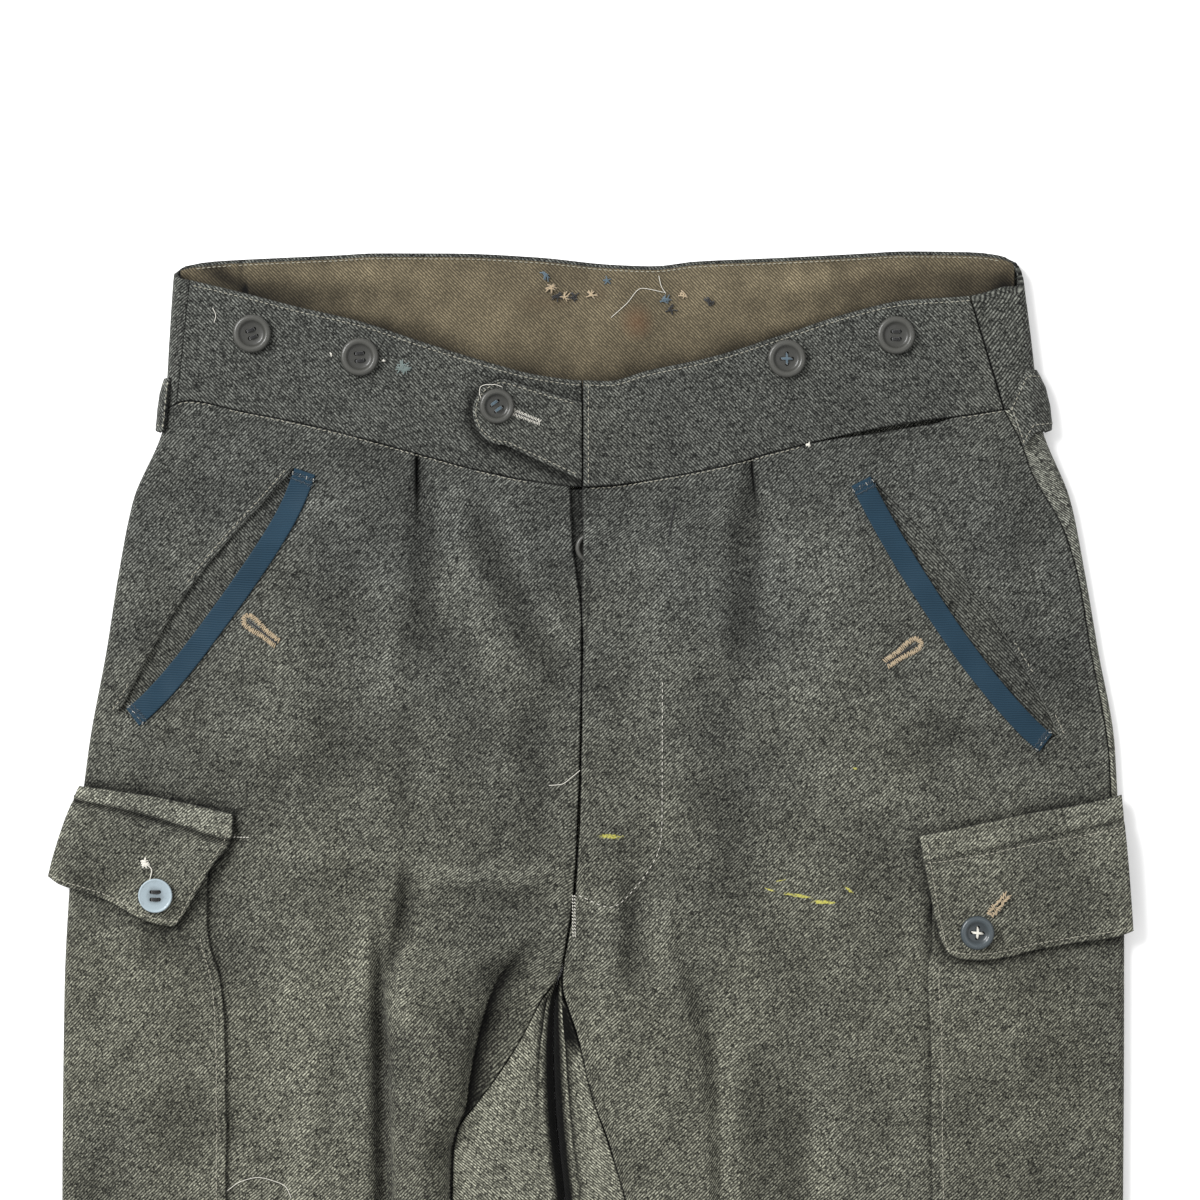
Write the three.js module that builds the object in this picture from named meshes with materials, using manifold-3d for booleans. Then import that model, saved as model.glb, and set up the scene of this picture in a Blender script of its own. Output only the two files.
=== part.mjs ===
// Military trousers of grey wool twill, lying flat on their back on a level surface.
// The waist points to +Y and the hems to -Y.
// "Right" and "left" are the wearer's, so the right leg has negative x.
// Lengths are millimetres. A place is given by x and by its drop, the distance below the highest waist edge.
import * as THREE from "three";
import { mergeVertices } from "three/addons/utils/BufferGeometryUtils.js";
import Module from "manifold-3d";

const wasm = await Module();
wasm.setup();

// Driving sizes.
const LENGTH = 1040; // waist edge to hem
const WOOL = 1.6; // body cloth with its turnings
const BAND = 2.4; // doubled waistband cloth
const BACK_BAND = 1.8;
const LINING = 0.8;
const TAPE = 0.7;
const FACING = 1.2;
const POCKET_CLOTH = 1.5;
const FLAP_CLOTH = 1.8;
const STRAP_CLOTH = 1.5;
const UNDERLAP_CLOTH = 1.4;
const TAB_CLOTH = 2;
const SEAM_HALF_GAP = 0.35; // each cut piece stops this far before its seam line
const SEAM_ROUND_CLEAR = 0.4;
const LAY = 0.4; // clearance between a piece and what it lies on
const FACING_LAY = 0.6;
const UNDERLAP_LAY = 0.58;
const STRAP_LAY = 0.8;
const TAPE_WIDTH = 10.2;
const BRACE_BUTTON = { radius: 9, height: 2.8 };
const POCKET_BUTTON = { radius: 8, height: 2.6 };
const FLY_BUTTON = { radius: 7.4, height: 2.1 };

const COLOURS = {
  wool: 0x585a55,
  lining: 0x8a7d63,
  tape: 0x34505f,
  darkButton: 0x4b4b48,
  paleButton: 0x8a969b,
};

// The body's side edges at half height, and the radius of the fold there.
const BODY = [
  { drop: 5, right: -194.5, left: 199.5, radius: 4.5, puff: 1.8 },
  { drop: 24, right: -196.5, left: 206, radius: 4.5, puff: 1.8 },
  { drop: 48, right: -198, left: 209, radius: 4.5, puff: 1.8 },
  { drop: 80, right: -200, left: 212.5, radius: 4.5, puff: 1.8 },
  { drop: 118, right: -215, left: 227, radius: 3.5, puff: 3.2 },
  { drop: 153, right: -222, left: 234, radius: 3.1, puff: 3.6 },
  { drop: 188, right: -227.5, left: 240, radius: 3, puff: 2.8 },
  { drop: 235, right: -236, left: 248, radius: 3, puff: 2.8 },
  { drop: 306, right: -243.5, left: 250.5, radius: 3, puff: 4.2 },
  { drop: 350, right: -245.5, left: 250.5, radius: 3, puff: 4.6 },
  { drop: 447, right: -246.5, left: 250, radius: 3, puff: 3.4 },
  { drop: 541, right: -244.5, left: 248, radius: 3, puff: 2.2 },
  { drop: 682, right: -239, left: 243, radius: 2.9, puff: 1.2 },
  { drop: 870, right: -231, left: 236, radius: 2.8, puff: 0.9 },
  { drop: LENGTH, right: -224, left: 229, radius: 2.7, puff: 0.6 },
];

// The legs' inner edges at half height, and the radius of the fold there.
const INNER_EDGE = [
  { drop: 344, right: -16.6, left: -12.4, radius: 3.2 },
  { drop: 350, right: -17.5, left: -13.6, radius: 3.3 },
  { drop: 360, right: -18.5, left: -14.8, radius: 3.9 },
  { drop: 376, right: -18.2, left: -15.4, radius: 5.4 },
  { drop: 400, right: -16.9, left: -15, radius: 6 },
  { drop: 423, right: -14.9, left: -13, radius: 6 },
  { drop: 447, right: -12.4, left: -10.5, radius: 5.8 },
  { drop: 541, right: -12.5, left: -4, radius: 4.4 },
  { drop: 682, right: -15.5, left: 4.2, radius: 3.2 },
  { drop: 870, right: -20.7, left: 15.9, radius: 2.8 },
  { drop: LENGTH, right: -27.7, left: 27.7, radius: 2.7 },
];

// The right front: its inner cut edge, the crease, the crest of the fold that rolls over the inner leg,
// the thigh pocket's edge, and the rise of that fold.
const RIGHT_FRONT = [
  { drop: 75, inner: -9.4, crease: -81, crest: -14, pocket: -150, rise: 0 },
  { drop: 108, inner: -9.4, crease: -81.4, crest: -14, pocket: -152, rise: 0 },
  { drop: 140, inner: -7.7, crease: -80.5, crest: -13, pocket: -156, rise: 0 },
  { drop: 158, inner: -5.6, crease: -80, crest: -12, pocket: -158, rise: 0 },
  { drop: 177, inner: -4, crease: -82, crest: -11, pocket: -161, rise: 0 },
  { drop: 240, inner: -4.6, crease: -87.5, crest: -12, pocket: -170, rise: 0 },
  { drop: 282, inner: -6, crease: -90, crest: -14, pocket: -177, rise: 0.5 },
  { drop: 301, inner: -7.3, crease: -91, crest: -15, pocket: -179, rise: 1.5 },
  { drop: 314, inner: -8.7, crease: -92.5, crest: -17, pocket: -179, rise: 3 },
  { drop: 326, inner: -10.8, crease: -94, crest: -31, pocket: -177.5, rise: 6 },
  { drop: 338, inner: -12.9, crease: -95, crest: -43, pocket: -174, rise: 9 },
  { drop: 345, inner: -16.5, crease: -95.5, crest: -47.5, pocket: -172.5, rise: 10 },
  { drop: 350, inner: -20.8, crease: -96, crest: -49.5, pocket: -171.8, rise: 10.5 },
  { drop: 368, inner: -30.6, crease: -97, crest: -55, pocket: -170.3, rise: 11.5 },
  { drop: 388, inner: -43.2, crease: -97.6, crest: -58.7, pocket: -169.9, rise: 12 },
  { drop: 401, inner: -53, crease: -98, crest: -60.5, pocket: -169.8, rise: 12 },
  { drop: 412, inner: -61.2, crease: -98.6, crest: -63.7, pocket: -169.8, rise: 12 },
  { drop: 425, inner: -63.8, crease: -99.2, crest: -66.3, pocket: -169.8, rise: 12 },
  { drop: 447, inner: -64.4, crease: -100, crest: -66.9, pocket: -170, rise: 11 },
  { drop: 500, inner: -58, crease: -102, crest: -62.5, pocket: -171, rise: 7 },
  { drop: 560, inner: -47, crease: -104, crest: -58, pocket: -171, rise: 2.5 },
  { drop: 640, inner: -34, crease: -108, crest: -56, pocket: -171, rise: 0 },
  { drop: 760, inner: -26, crease: -113, crest: -58, pocket: -172, rise: 0 },
  { drop: LENGTH, inner: -34, crease: -124, crest: -68, pocket: -174, rise: 0 },
];

// The left front: its inner cut edge, which is the fly edge down to 300, the ridge above the inner leg,
// the thigh pocket's edge, the side seam, and the rise of the ridge.
const LEFT_FRONT = [
  { drop: 75, inner: -2.8, crease: 76, pocket: 128, seam: 195, rise: 0 },
  { drop: 90, inner: -2.8, crease: 76.5, pocket: 130, seam: 203, rise: 0 },
  { drop: 104, inner: -2.8, crease: 77, pocket: 132, seam: 208, rise: 0 },
  { drop: 117, inner: -2.8, crease: 78.5, pocket: 134, seam: 215.4, rise: 0 },
  { drop: 127, inner: -2.8, crease: 79, pocket: 136, seam: 221.4, rise: 0 },
  { drop: 136, inner: -2.8, crease: 79, pocket: 138, seam: 225.2, rise: 0 },
  { drop: 156, inner: -2.8, crease: 78, pocket: 141, seam: 230.8, rise: 0 },
  { drop: 187, inner: -3, crease: 75, pocket: 146, seam: 236, rise: 0 },
  { drop: 240, inner: -3.8, crease: 66, pocket: 153, seam: 245, rise: 0 },
  { drop: 282, inner: -5.2, crease: 52, pocket: 158, seam: 246.5, rise: 0.5 },
  { drop: 301, inner: -6.6, crease: 46, pocket: 161, seam: 246.8, rise: 1.5 },
  { drop: 325, inner: -10, crease: 44.5, pocket: 161, seam: 247, rise: 3 },
  { drop: 338, inner: -12, crease: 48.6, pocket: 158.8, seam: 247, rise: 4.5 },
  { drop: 346, inner: -12.2, crease: 51.5, pocket: 158.8, seam: 247, rise: 5.2 },
  { drop: 358, inner: -9.2, crease: 55.5, pocket: 159.4, seam: 247, rise: 6 },
  { drop: 369, inner: -5.6, crease: 58.6, pocket: 160.2, seam: 247, rise: 6.6 },
  { drop: 382, inner: -2.4, crease: 60.8, pocket: 160.3, seam: 247, rise: 7 },
  { drop: 400, inner: 2.4, crease: 62.3, pocket: 160.3, seam: 247, rise: 7.2 },
  { drop: 418, inner: 8.9, crease: 62.8, pocket: 160.3, seam: 246.8, rise: 7.2 },
  { drop: 447, inner: 17.4, crease: 63, pocket: 161, seam: 246.5, rise: 7 },
  { drop: 500, inner: 27, crease: 65, pocket: 160, seam: 243.5, rise: 4 },
  { drop: 560, inner: 28, crease: 70, pocket: 159, seam: 240.5, rise: 1.4 },
  { drop: 640, inner: 24, crease: 80, pocket: 157, seam: 237.5, rise: 0 },
  { drop: 760, inner: 20, crease: 98, pocket: 156, seam: 231.5, rise: 0 },
  { drop: LENGTH, inner: 34, crease: 128, pocket: 158, seam: 219, rise: 0 },
];

// The centre-back seam, on the underside. Below the fork it is the place where the legs part.
const CENTRE_BACK = [
  { drop: 75, x: 0 },
  { drop: 200, x: -4 },
  { drop: 300, x: -10 },
  { drop: 344, x: -14.5 },
];

// The waistband's edges across the front and back, by x.
const FRONT_BAND_EDGE = [
  { x: -200, top: 12, seam: 75 },
  { x: -188.5, top: 14, seam: 71 },
  { x: -163, top: 20, seam: 76 },
  { x: -136, top: 27, seam: 81.5 },
  { x: -108, top: 33.5, seam: 88.3 },
  { x: -79, top: 43, seam: 96.3 },
  { x: -51, top: 51.8, seam: 103.9 },
  { x: -23, top: 59, seam: 109.5 },
  { x: -2, top: 61.5, seam: 111.5 },
  { x: 9, top: 61.8, seam: 111 },
  { x: 27, top: 57, seam: 108.6 },
  { x: 59, top: 50, seam: 102.7 },
  { x: 92, top: 39.5, seam: 94 },
  { x: 121, top: 30, seam: 87 },
  { x: 148, top: 23.8, seam: 81.8 },
  { x: 179, top: 21.5, seam: 77.6 },
  { x: 195.4, top: 17, seam: 75 },
];
const BACK_BAND_EDGE = [
  { x: -195, top: 9 },
  { x: -176, top: 5.2 },
  { x: -119, top: 1.9 },
  { x: -100, top: 0.9 },
  { x: -63, top: 1 },
  { x: -25, top: 2.8 },
  { x: 12, top: 6.4 },
  { x: 31, top: 7 },
  { x: 50, top: 4.8 },
  { x: 87, top: 3.2 },
  { x: 125, top: 1.3 },
  { x: 150, top: 0 },
  { x: 181, top: 0.4 },
  { x: 201, top: 6 },
];
const BAND_SEAM_DROP = 75; // where the back waistband meets the back panels
const SEAM_LEVEL = 190; // how far below the waistband the fronts' rows have levelled out
const RIGHT_BAND = { outer: -188.2, inner: -3.2, pieces: 13 };
const LEFT_BAND = { inner: -2.5, outerTop: 178.6, outerSeam: 194.6, pieces: 14 };
const BACK_BAND_ENDS = { right: -189, topLeft: 179.4, seamLeft: 195.2, turnRight: -195, turnLeft: 201 };
const BACK_BAND_FLAT = { from: -185, to: 195, shares: [0.1, 0.25, 0.4, 0.5, 0.6, 0.75, 0.9] };
const LINING_PLACE = { right: -187.5, left: 194, inset: 2.6, bottom: 70, pieces: 16 };
const BAND_SHARES = [0, 0.33, 0.67, 1];

// Where the trunk passes into the two legs, and how far in from an edge the cloth rises to its full height.
const FORK = { above: 332, below: 384, wrapFrom: 336, wrapTo: 353 };
const RISE_REACH = { trunk: 70, legEdge: 55, legInner: 45, legRoll: 75 };
const FOLD_CLEAR = { edge: 22, inner: 10, innerOffset: 3 }; // folds fade out at the edges

// The fly edge lies over the right front and over the buttons behind it.
const FLY = { lift: 1.2, buttonLift: 3.2, button: 138, spread: 34, gone: 322, full: 290, reach: 22 };
const BAND_LIFT = { height: 3.4, from: -2.8, reach: 26 };
const CREST_OVERHANG = { reach: 2.6, from: 0.72, to: 0.93, fullRise: 10 };

// The largest soft folds: a ridge or trough from one place to another, bowed sideways,
// with a width to each side.
const FOLDS = [
  { x0: -81, d0: 98, x1: -76, d1: 200, bow: 2, near: 7, far: 9, height: -2 },
  { x0: -52, d0: 112, x1: -9, d1: 214, bow: -5, near: 9, far: 8, height: -2 },
  { x0: -91, d0: 286, x1: -100, d1: 520, bow: -3, near: 8, far: 5, height: -4 },
  { x0: -126, d0: 320, x1: -128, d1: 520, bow: 0, near: 26, far: 20, height: 3 },
  { x0: 78, d0: 102, x1: 74, d1: 196, bow: -2, near: 8, far: 9, height: -2 },
  { x0: 108, d0: 130, x1: 100, d1: 230, bow: 0, near: 20, far: 16, height: 1.4 },
  { x0: 20, d0: 294, x1: 26, d1: 346, bow: 0, near: 7, far: 6, height: -2.4 },
  { x0: 94, d0: 396, x1: 100, d1: 520, bow: 0, near: 9, far: 12, height: -2 },
];

// Hip pocket mouths: the tape down the front's edge, and the line of the side part's edge behind it.
const RIGHT_MOUTH = [
  { x: -133, drop: 104, sideX: -139, sideDrop: 102.8 },
  { x: -140, drop: 120.3, sideX: -151.5, sideDrop: 117.5 },
  { x: -146.8, drop: 133.5, sideX: -165, sideDrop: 132 },
  { x: -153.6, drop: 145.7, sideX: -176.5, sideDrop: 144 },
  { x: -162.6, drop: 157, sideX: -186, sideDrop: 155.5 },
  { x: -170.8, drop: 167.5, sideX: -193.5, sideDrop: 168 },
  { x: -178.4, drop: 179.5, sideX: -200.5, sideDrop: 179.5 },
  { x: -187, drop: 190.8, sideX: -207.5, sideDrop: 190.5 },
  { x: -195.4, drop: 200.7, sideX: -213.5, sideDrop: 202 },
  { x: -204.5, drop: 210, sideX: -218, sideDrop: 210.5 },
  { x: -214.5, drop: 220, sideX: -221.5, sideDrop: 216.5 },
];
const LEFT_MOUTH = [
  { x: 127.4, drop: 108.9, sideX: 134, sideDrop: 108.4 },
  { x: 135.6, drop: 123.2, sideX: 145.5, sideDrop: 119.8 },
  { x: 143, drop: 136.7, sideX: 157.5, sideDrop: 131 },
  { x: 151.4, drop: 151.5, sideX: 169, sideDrop: 144.5 },
  { x: 160.3, drop: 166, sideX: 180, sideDrop: 159.5 },
  { x: 169.5, drop: 178.5, sideX: 189.5, sideDrop: 172.5 },
  { x: 178.5, drop: 190.7, sideX: 197.5, sideDrop: 184.5 },
  { x: 188, drop: 203.5, sideX: 205, sideDrop: 196.5 },
  { x: 197, drop: 214.8, sideX: 212, sideDrop: 209 },
  { x: 206.2, drop: 224.5, sideX: 217.5, sideDrop: 220 },
  { x: 215, drop: 231.5, sideX: 221, sideDrop: 227.4 },
];

// Thigh pockets and flaps.
const POCKET = { topRight: 276, topLeft: 290, bottom: 490, puff: 1.8, wrapAngle: -0.25 * Math.PI };
const POCKET_PUFF_ACROSS = [0, 0, 0.1, 0.5, 1, 0.8, 0];
const POCKET_LAY_ACROSS = [0.5, 0.6, 0.8, 0.8, 0.5, 0.35, 0.35]; // clears the round of the side fold
const FLAP_REACH = 2.4; // how far the flap stands off the cloth where it covers the pocket
const FLAP_LAY = 0.65; // the same at its sewn top edge
const FLAP_SAG = 0.028; // how fast a flap drops past the side edge
// A flap's top and bottom edges from its outer end to its inner one, and its sides from top to bottom.
const RIGHT_FLAP = {
  top: [[-240, 251.5], [-210.1, 255.7], [-188, 259.9], [-166.9, 264.8]],
  bottom: [[-255, 294.8], [-232.7, 303.6], [-221.4, 308.8], [-210.1, 316.3], [-199.8, 319.4], [-191.3, 317]],
  outer: [[-240, 251.5], [-244.9, 263.2], [-249.1, 274.5], [-255, 294.8]],
  inner: [[-166.9, 264.8], [-169.7, 280.1], [-175.8, 288.6], [-184.2, 302.7], [-191.3, 317]],
};
const LEFT_FLAP = {
  top: [[250.8, 256], [228.9, 260.9], [206.3, 264.6], [178.6, 270.3], [154.6, 275]],
  bottom: [[256, 320], [228.9, 325.2], [208.2, 328.5], [182.8, 332.8], [169.6, 331.8]],
  outer: [[250.8, 256], [251.9, 269.3], [254.6, 300], [256, 320]],
  inner: [[154.6, 275], [156.5, 286.2], [159.3, 301.3], [163.6, 316.3], [169.6, 331.8]],
};
const FLAP_DOWN = [0, 0.14, 0.3, 0.5, 0.75, 1];
const FLAP_ACROSS = [0, 0.08, 0.18, 0.32, 0.5, 0.7, 0.86, 1];

const BUTTONS = [
  { name: "brace_button_1", x: -158, drop: 39.6, size: BRACE_BUTTON, colour: "darkButton" },
  { name: "brace_button_2", x: -107.4, drop: 50.6, size: BRACE_BUTTON, colour: "darkButton" },
  { name: "brace_button_3", x: 92.8, drop: 51.4, size: BRACE_BUTTON, colour: "darkButton" },
  { name: "brace_button_4", x: 144, drop: 40.4, size: BRACE_BUTTON, colour: "darkButton" },
];
const TAB_BUTTON = { x: -43.2, drop: 73.8 };
const FLAP_BUTTONS = [
  { name: "flap_button_right", x: -202.6, drop: 302.7 },
  { name: "flap_button_left", x: 181.4, drop: 319.9 },
];
const FLY_BUTTON_PLACE = { x: 0.7, drop: 140 };

// The rows that every body panel is cut at.
const ROWS = [
  75.35, 88, 102, 118, 135, 152, 170, 190, 210, 230, 250, 270, 288, 302, 314, 324, 334, 344, 353, 364, 376,
  388, 402, 416, 431, 447, 468, 490, 530, 590, 670, 760, 850, 950, LENGTH,
];

const clamp01 = (t) => Math.min(1, Math.max(0, t));
const mix = (a, b, t) => a + (b - a) * t;
const smooth = (a, b, x) => {
  const t = clamp01((x - a) / (b - a));
  return t * t * (3 - 2 * t);
};

// A smooth curve through a table's rows that never overshoots them.
function track(rows, key, by = "drop") {
  const xs = rows.map((r) => r[by]);
  const ys = rows.map((r) => r[key]);
  const slopes = xs.slice(1).map((x, i) => (ys[i + 1] - ys[i]) / (x - xs[i]));
  const tangents = xs.map((_, i) => {
    if (i === 0) return slopes[0];
    if (i === xs.length - 1) return slopes[i - 1];
    const [a, b] = [slopes[i - 1], slopes[i]];
    return a * b <= 0 ? 0 : (2 * a * b) / (a + b);
  });
  return (x) => {
    if (x <= xs[0]) return ys[0];
    if (x >= xs[xs.length - 1]) return ys[ys.length - 1];
    const i = xs.findIndex((at) => at > x) - 1;
    const h = xs[i + 1] - xs[i];
    const t = (x - xs[i]) / h;
    const s = 1 - t;
    return (
      s * s * (1 + 2 * t) * ys[i] +
      t * t * (1 + 2 * s) * ys[i + 1] +
      h * t * s * (s * tangents[i] - t * tangents[i + 1])
    );
  };
}

const edgeRadius = track(BODY, "radius");
const puff = track(BODY, "puff");
const innerRadius = track(INNER_EDGE, "radius");
const centreBack = track(CENTRE_BACK, "x");
const frontTop = track(FRONT_BAND_EDGE, "top", "x");
const frontSeam = track(FRONT_BAND_EDGE, "seam", "x");
const backTop = track(BACK_BAND_EDGE, "top", "x");

const RIGHT = {
  name: "right",
  sign: -1,
  edge: track(BODY, "right"),
  innerEdge: track(INNER_EDGE, "right"),
  inner: track(RIGHT_FRONT, "inner"),
  crease: track(RIGHT_FRONT, "crease"),
  crest: track(RIGHT_FRONT, "crest"),
  pocket: track(RIGHT_FRONT, "pocket"),
  rise: track(RIGHT_FRONT, "rise"),
  seam: null, // the side seam lies on the edge itself
  mouth: RIGHT_MOUTH,
};
const LEFT = {
  name: "left",
  sign: 1,
  edge: track(BODY, "left"),
  innerEdge: track(INNER_EDGE, "left"),
  inner: track(LEFT_FRONT, "inner"),
  crease: track(LEFT_FRONT, "crease"),
  crest: track(LEFT_FRONT, "inner"),
  pocket: track(LEFT_FRONT, "pocket"),
  rise: track(LEFT_FRONT, "rise"),
  seam: track(LEFT_FRONT, "seam"),
  mouth: LEFT_MOUTH,
};

// The height of the soft folds at a place.
function foldHeight(x, drop) {
  let height = 0;
  for (const f of FOLDS) {
    const [dx, dd] = [f.x1 - f.x0, f.d1 - f.d0];
    const long = Math.hypot(dx, dd);
    const along = ((x - f.x0) * dx + (drop - f.d0) * dd) / (long * long);
    if (along <= 0 || along >= 1) continue;
    const side = ((x - f.x0) * dd - (drop - f.d0) * dx) / long - f.bow * 4 * along * (1 - along);
    const width = side < 0 ? f.near : f.far;
    const fade = smooth(0, 0.25, along) * smooth(1, 0.7, along);
    height += f.height * Math.exp(-((side / width) ** 2)) * fade;
  }
  return height;
}

// The height of the body's upper surface without the big folds over the inner legs.
function baseHeight(side, x, drop) {
  const radius = edgeRadius(drop);
  const fromEdge = Math.abs(x - side.edge(drop));
  const fromInner = Math.max(0, (x - side.innerEdge(drop)) * side.sign);
  const trunk = puff(drop) * smooth(radius, RISE_REACH.trunk, fromEdge);
  const inner = innerRadius(drop);
  const rolled = 2 * (inner - radius) * (1 - smooth(inner, RISE_REACH.legRoll, fromInner));
  const puffed =
    puff(drop) * smooth(radius, RISE_REACH.legEdge, fromEdge) * smooth(inner, RISE_REACH.legInner, fromInner);
  return 2 * radius + mix(trunk, rolled + puffed, smooth(FORK.above, FORK.below, drop));
}

// The rise of the big fold between the crease and the crest, where share runs from 0 to 1.
function domeProfile(side, share) {
  if (share <= 0 || share >= 1) return 0;
  if (side === RIGHT) return Math.sin(Math.PI * share ** 1.15) ** 0.62;
  return smooth(0, 0.16, share) * smooth(1.02, 0.2, share);
}

function frontHeight(side, x, drop) {
  const [crease, crest] = [side.crease(drop), side.crest(drop)];
  const share = (x - crease) / (crest - crease);
  const nearEdge = smooth(0, FOLD_CLEAR.edge, Math.abs(x - side.edge(drop)) - edgeRadius(drop));
  const nearInner = smooth(0, FOLD_CLEAR.inner, Math.abs(x - side.inner(drop)) + FOLD_CLEAR.innerOffset);
  let z = baseHeight(side, x, drop) + side.rise(drop) * domeProfile(side, share);
  z += foldHeight(x, drop) * nearEdge * nearInner;
  if (side === LEFT) {
    const overButton = Math.exp(-(((drop - FLY.button) / FLY.spread) ** 2));
    const lift = mix(FLY.lift, FLY.buttonLift, overButton) * smooth(FLY.gone, FLY.full, drop);
    z += lift * Math.exp(-Math.max(0, x - side.inner(drop)) / FLY.reach);
  }
  return z;
}

const place = (x, drop, z) => new THREE.Vector3(x, LENGTH / 2 - drop, z);

// A point of the fold along a side edge.
// The angle is 0 at the edge itself, a quarter turn on top and minus a quarter turn below.
function edgePoint(side, drop, angle) {
  const radius = edgeRadius(drop);
  const x = side.edge(drop) - side.sign * radius * (1 - Math.cos(angle));
  return place(x, drop, radius * (1 + Math.sin(angle)));
}

function innerPoint(side, drop, angle) {
  const radius = innerRadius(drop);
  const x = side.innerEdge(drop) + side.sign * radius * (1 - Math.cos(angle));
  return place(x, drop, radius * (1 + Math.sin(angle)));
}

// The fronts' rows start on the sloping waistband seam and level out below it.
function frontDrop(x, row) {
  const rest = 1 - clamp01((row - BAND_SEAM_DROP) / SEAM_LEVEL);
  return row + (frontSeam(x) - BAND_SEAM_DROP) * rest;
}

function frontEdgePoint(side, row, angle) {
  const x = edgePoint(side, row, angle).x;
  return edgePoint(side, frontDrop(x, row), angle);
}

// A place on a front panel, at a share of the way across one of its stretches.
function frontPoint(side, row, xAt, push = 0) {
  let drop = row;
  let x = xAt(drop);
  for (let i = 0; i < 4; i++) {
    drop = frontDrop(x, row);
    x = xAt(drop);
  }
  return place(x + push, drop, frontHeight(side, x, drop));
}

const QUARTER = Math.PI / 2;
const ROLL_ANGLES = [0.5 * QUARTER, QUARTER];
const DOME_SHARES = { right: [0.1, 0.27, 0.46, 0.64, 0.8, 0.93], left: [0.06, 0.12, 0.2, 0.36, 0.58, 0.8] };
const OUTER_SHARES = [0, 0.33, 0.67, 1]; // from the side seam to the thigh pocket's edge
// The left side seam, kept on top of the side fold, clear of its round.
function seamLine(side, drop) {
  return Math.min(side.seam(drop), side.edge(drop) - edgeRadius(drop) - SEAM_HALF_GAP - SEAM_ROUND_CLEAR);
}
const MIDDLE_SHARES = [0.35, 0.7, 1]; // on to the crease
const CREST_SHARES = [0, 0.5, 1]; // from the crest of the right front's fold to its cut edge
const STEER_ANGLE = 0.5; // how far a ghost point lies past the seam, round the side fold
const STEER = 3; // the same where the seam lies on the flat

// One row of a front's outer surface, from the side seam to the inner cut edge.
// The first point only steers the seam.
function frontRow(side, row) {
  const points = [];
  const roll = (d) => side.edge(d) - side.sign * edgeRadius(d);
  const start = side.seam ? (d) => seamLine(side, d) - side.sign * SEAM_HALF_GAP : roll;
  const before = side.seam ? null : -SEAM_HALF_GAP / edgeRadius(row);
  if (!side.seam) {
    for (const angle of [before - STEER_ANGLE, -before, ROLL_ANGLES[0]]) {
      points.push(frontEdgePoint(side, row, angle));
    }
  } else points.push(frontPoint(side, row, (d) => start(d) + side.sign * STEER));
  const across = (from, to, share) => (d) => mix(from(d), to(d), share);
  for (const share of OUTER_SHARES) points.push(frontPoint(side, row, across(start, side.pocket, share)));
  for (const share of MIDDLE_SHARES) {
    points.push(frontPoint(side, row, across(side.pocket, side.crease, share)));
  }
  const cut = (d) => side.inner(d) + side.sign * SEAM_HALF_GAP;
  if (side === RIGHT) {
    for (const share of DOME_SHARES.right) {
      const c = CREST_OVERHANG;
      const overhang = c.reach * smooth(c.from, c.to, share) * smooth(0, c.fullRise, side.rise(row));
      points.push(frontPoint(side, row, across(side.crease, side.crest, share), overhang));
    }
    for (const share of CREST_SHARES) points.push(frontPoint(side, row, across(side.crest, cut, share)));
  } else {
    for (const share of [...DOME_SHARES.left, 1]) {
      points.push(frontPoint(side, row, across(side.crease, cut, share)));
    }
  }
  return points;
}

// The back's inner cut edge lies on top beyond the inner leg's fold, or ends on that fold.
const BACK_EDGE = { sunk: 0.5, clear: 2, leastCosine: -0.2, mostCosine: 0.96, second: 0.93, third: 0.86 };
const BACK_SPACING = 4.2; // between the points that meet at the centre-back seam
const UNDERSIDE_SHARES = [0.3, 0.65];
const SIDE_LAP_SHARE = 0.35;

// One row of a back's outer surface, from its inner cut edge, round the inner leg, along the underside
// and up the side. The last point only steers the seam.
function backRow(side, row) {
  const e = BACK_EDGE;
  const wrapped = smooth(FORK.wrapFrom, FORK.wrapTo, row);
  const radius = innerRadius(row);
  const from = side.inner(row) - side.sign * 3 * SEAM_HALF_GAP;
  const to = side.innerEdge(row) + side.sign * radius;
  const beyond = (from - to) * side.sign;
  const onTop = (share) => {
    const x = mix(from, to, share);
    return place(x, row, mix(baseHeight(side, x, row) - e.sunk, 2 * radius, share ** 2));
  };
  const lies = beyond > e.clear; // the cut edge lies past the fold of the inner leg
  const end = Math.acos(Math.min(e.mostCosine, Math.max(e.leastCosine, -beyond / radius)));
  const rolled = (angle) => innerPoint(side, row, angle);
  const reached = lies ? [onTop(0), onTop(0.5)] : [rolled(end), rolled(end * e.second)];
  const angles = [lies ? QUARTER : end * e.third, (lies ? QUARTER : end) / 2, 0, -QUARTER / 2, -QUARTER];
  const points = [...reached, ...angles.map(rolled)].map((p, i) => {
    const flat = place(centreBack(row) + side.sign * (SEAM_HALF_GAP + BACK_SPACING * i), row, 0);
    return flat.lerp(p, wrapped);
  });
  const flatFrom = points[points.length - 1].x;
  const flatTo = edgePoint(side, row, -QUARTER).x;
  for (const share of UNDERSIDE_SHARES) points.push(place(mix(flatFrom, flatTo, share), row, 0));
  const gap = SEAM_HALF_GAP / edgeRadius(row);
  for (const angle of [-QUARTER, -QUARTER / 2, side.seam ? 0 : -gap]) {
    points.push(edgePoint(side, row, angle));
  }
  if (!side.seam) {
    points.push(edgePoint(side, row, STEER_ANGLE + gap));
    return points;
  }
  points.push(edgePoint(side, row, ROLL_ANGLES[0]));
  const roll = edgePoint(side, row, QUARTER).x;
  const last = seamLine(side, row) + SEAM_HALF_GAP;
  for (const x of [mix(roll, last, SIDE_LAP_SHARE), last, last - STEER]) {
    points.push(place(x, row, baseHeight(side, x, row)));
  }
  return points;
}

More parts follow.
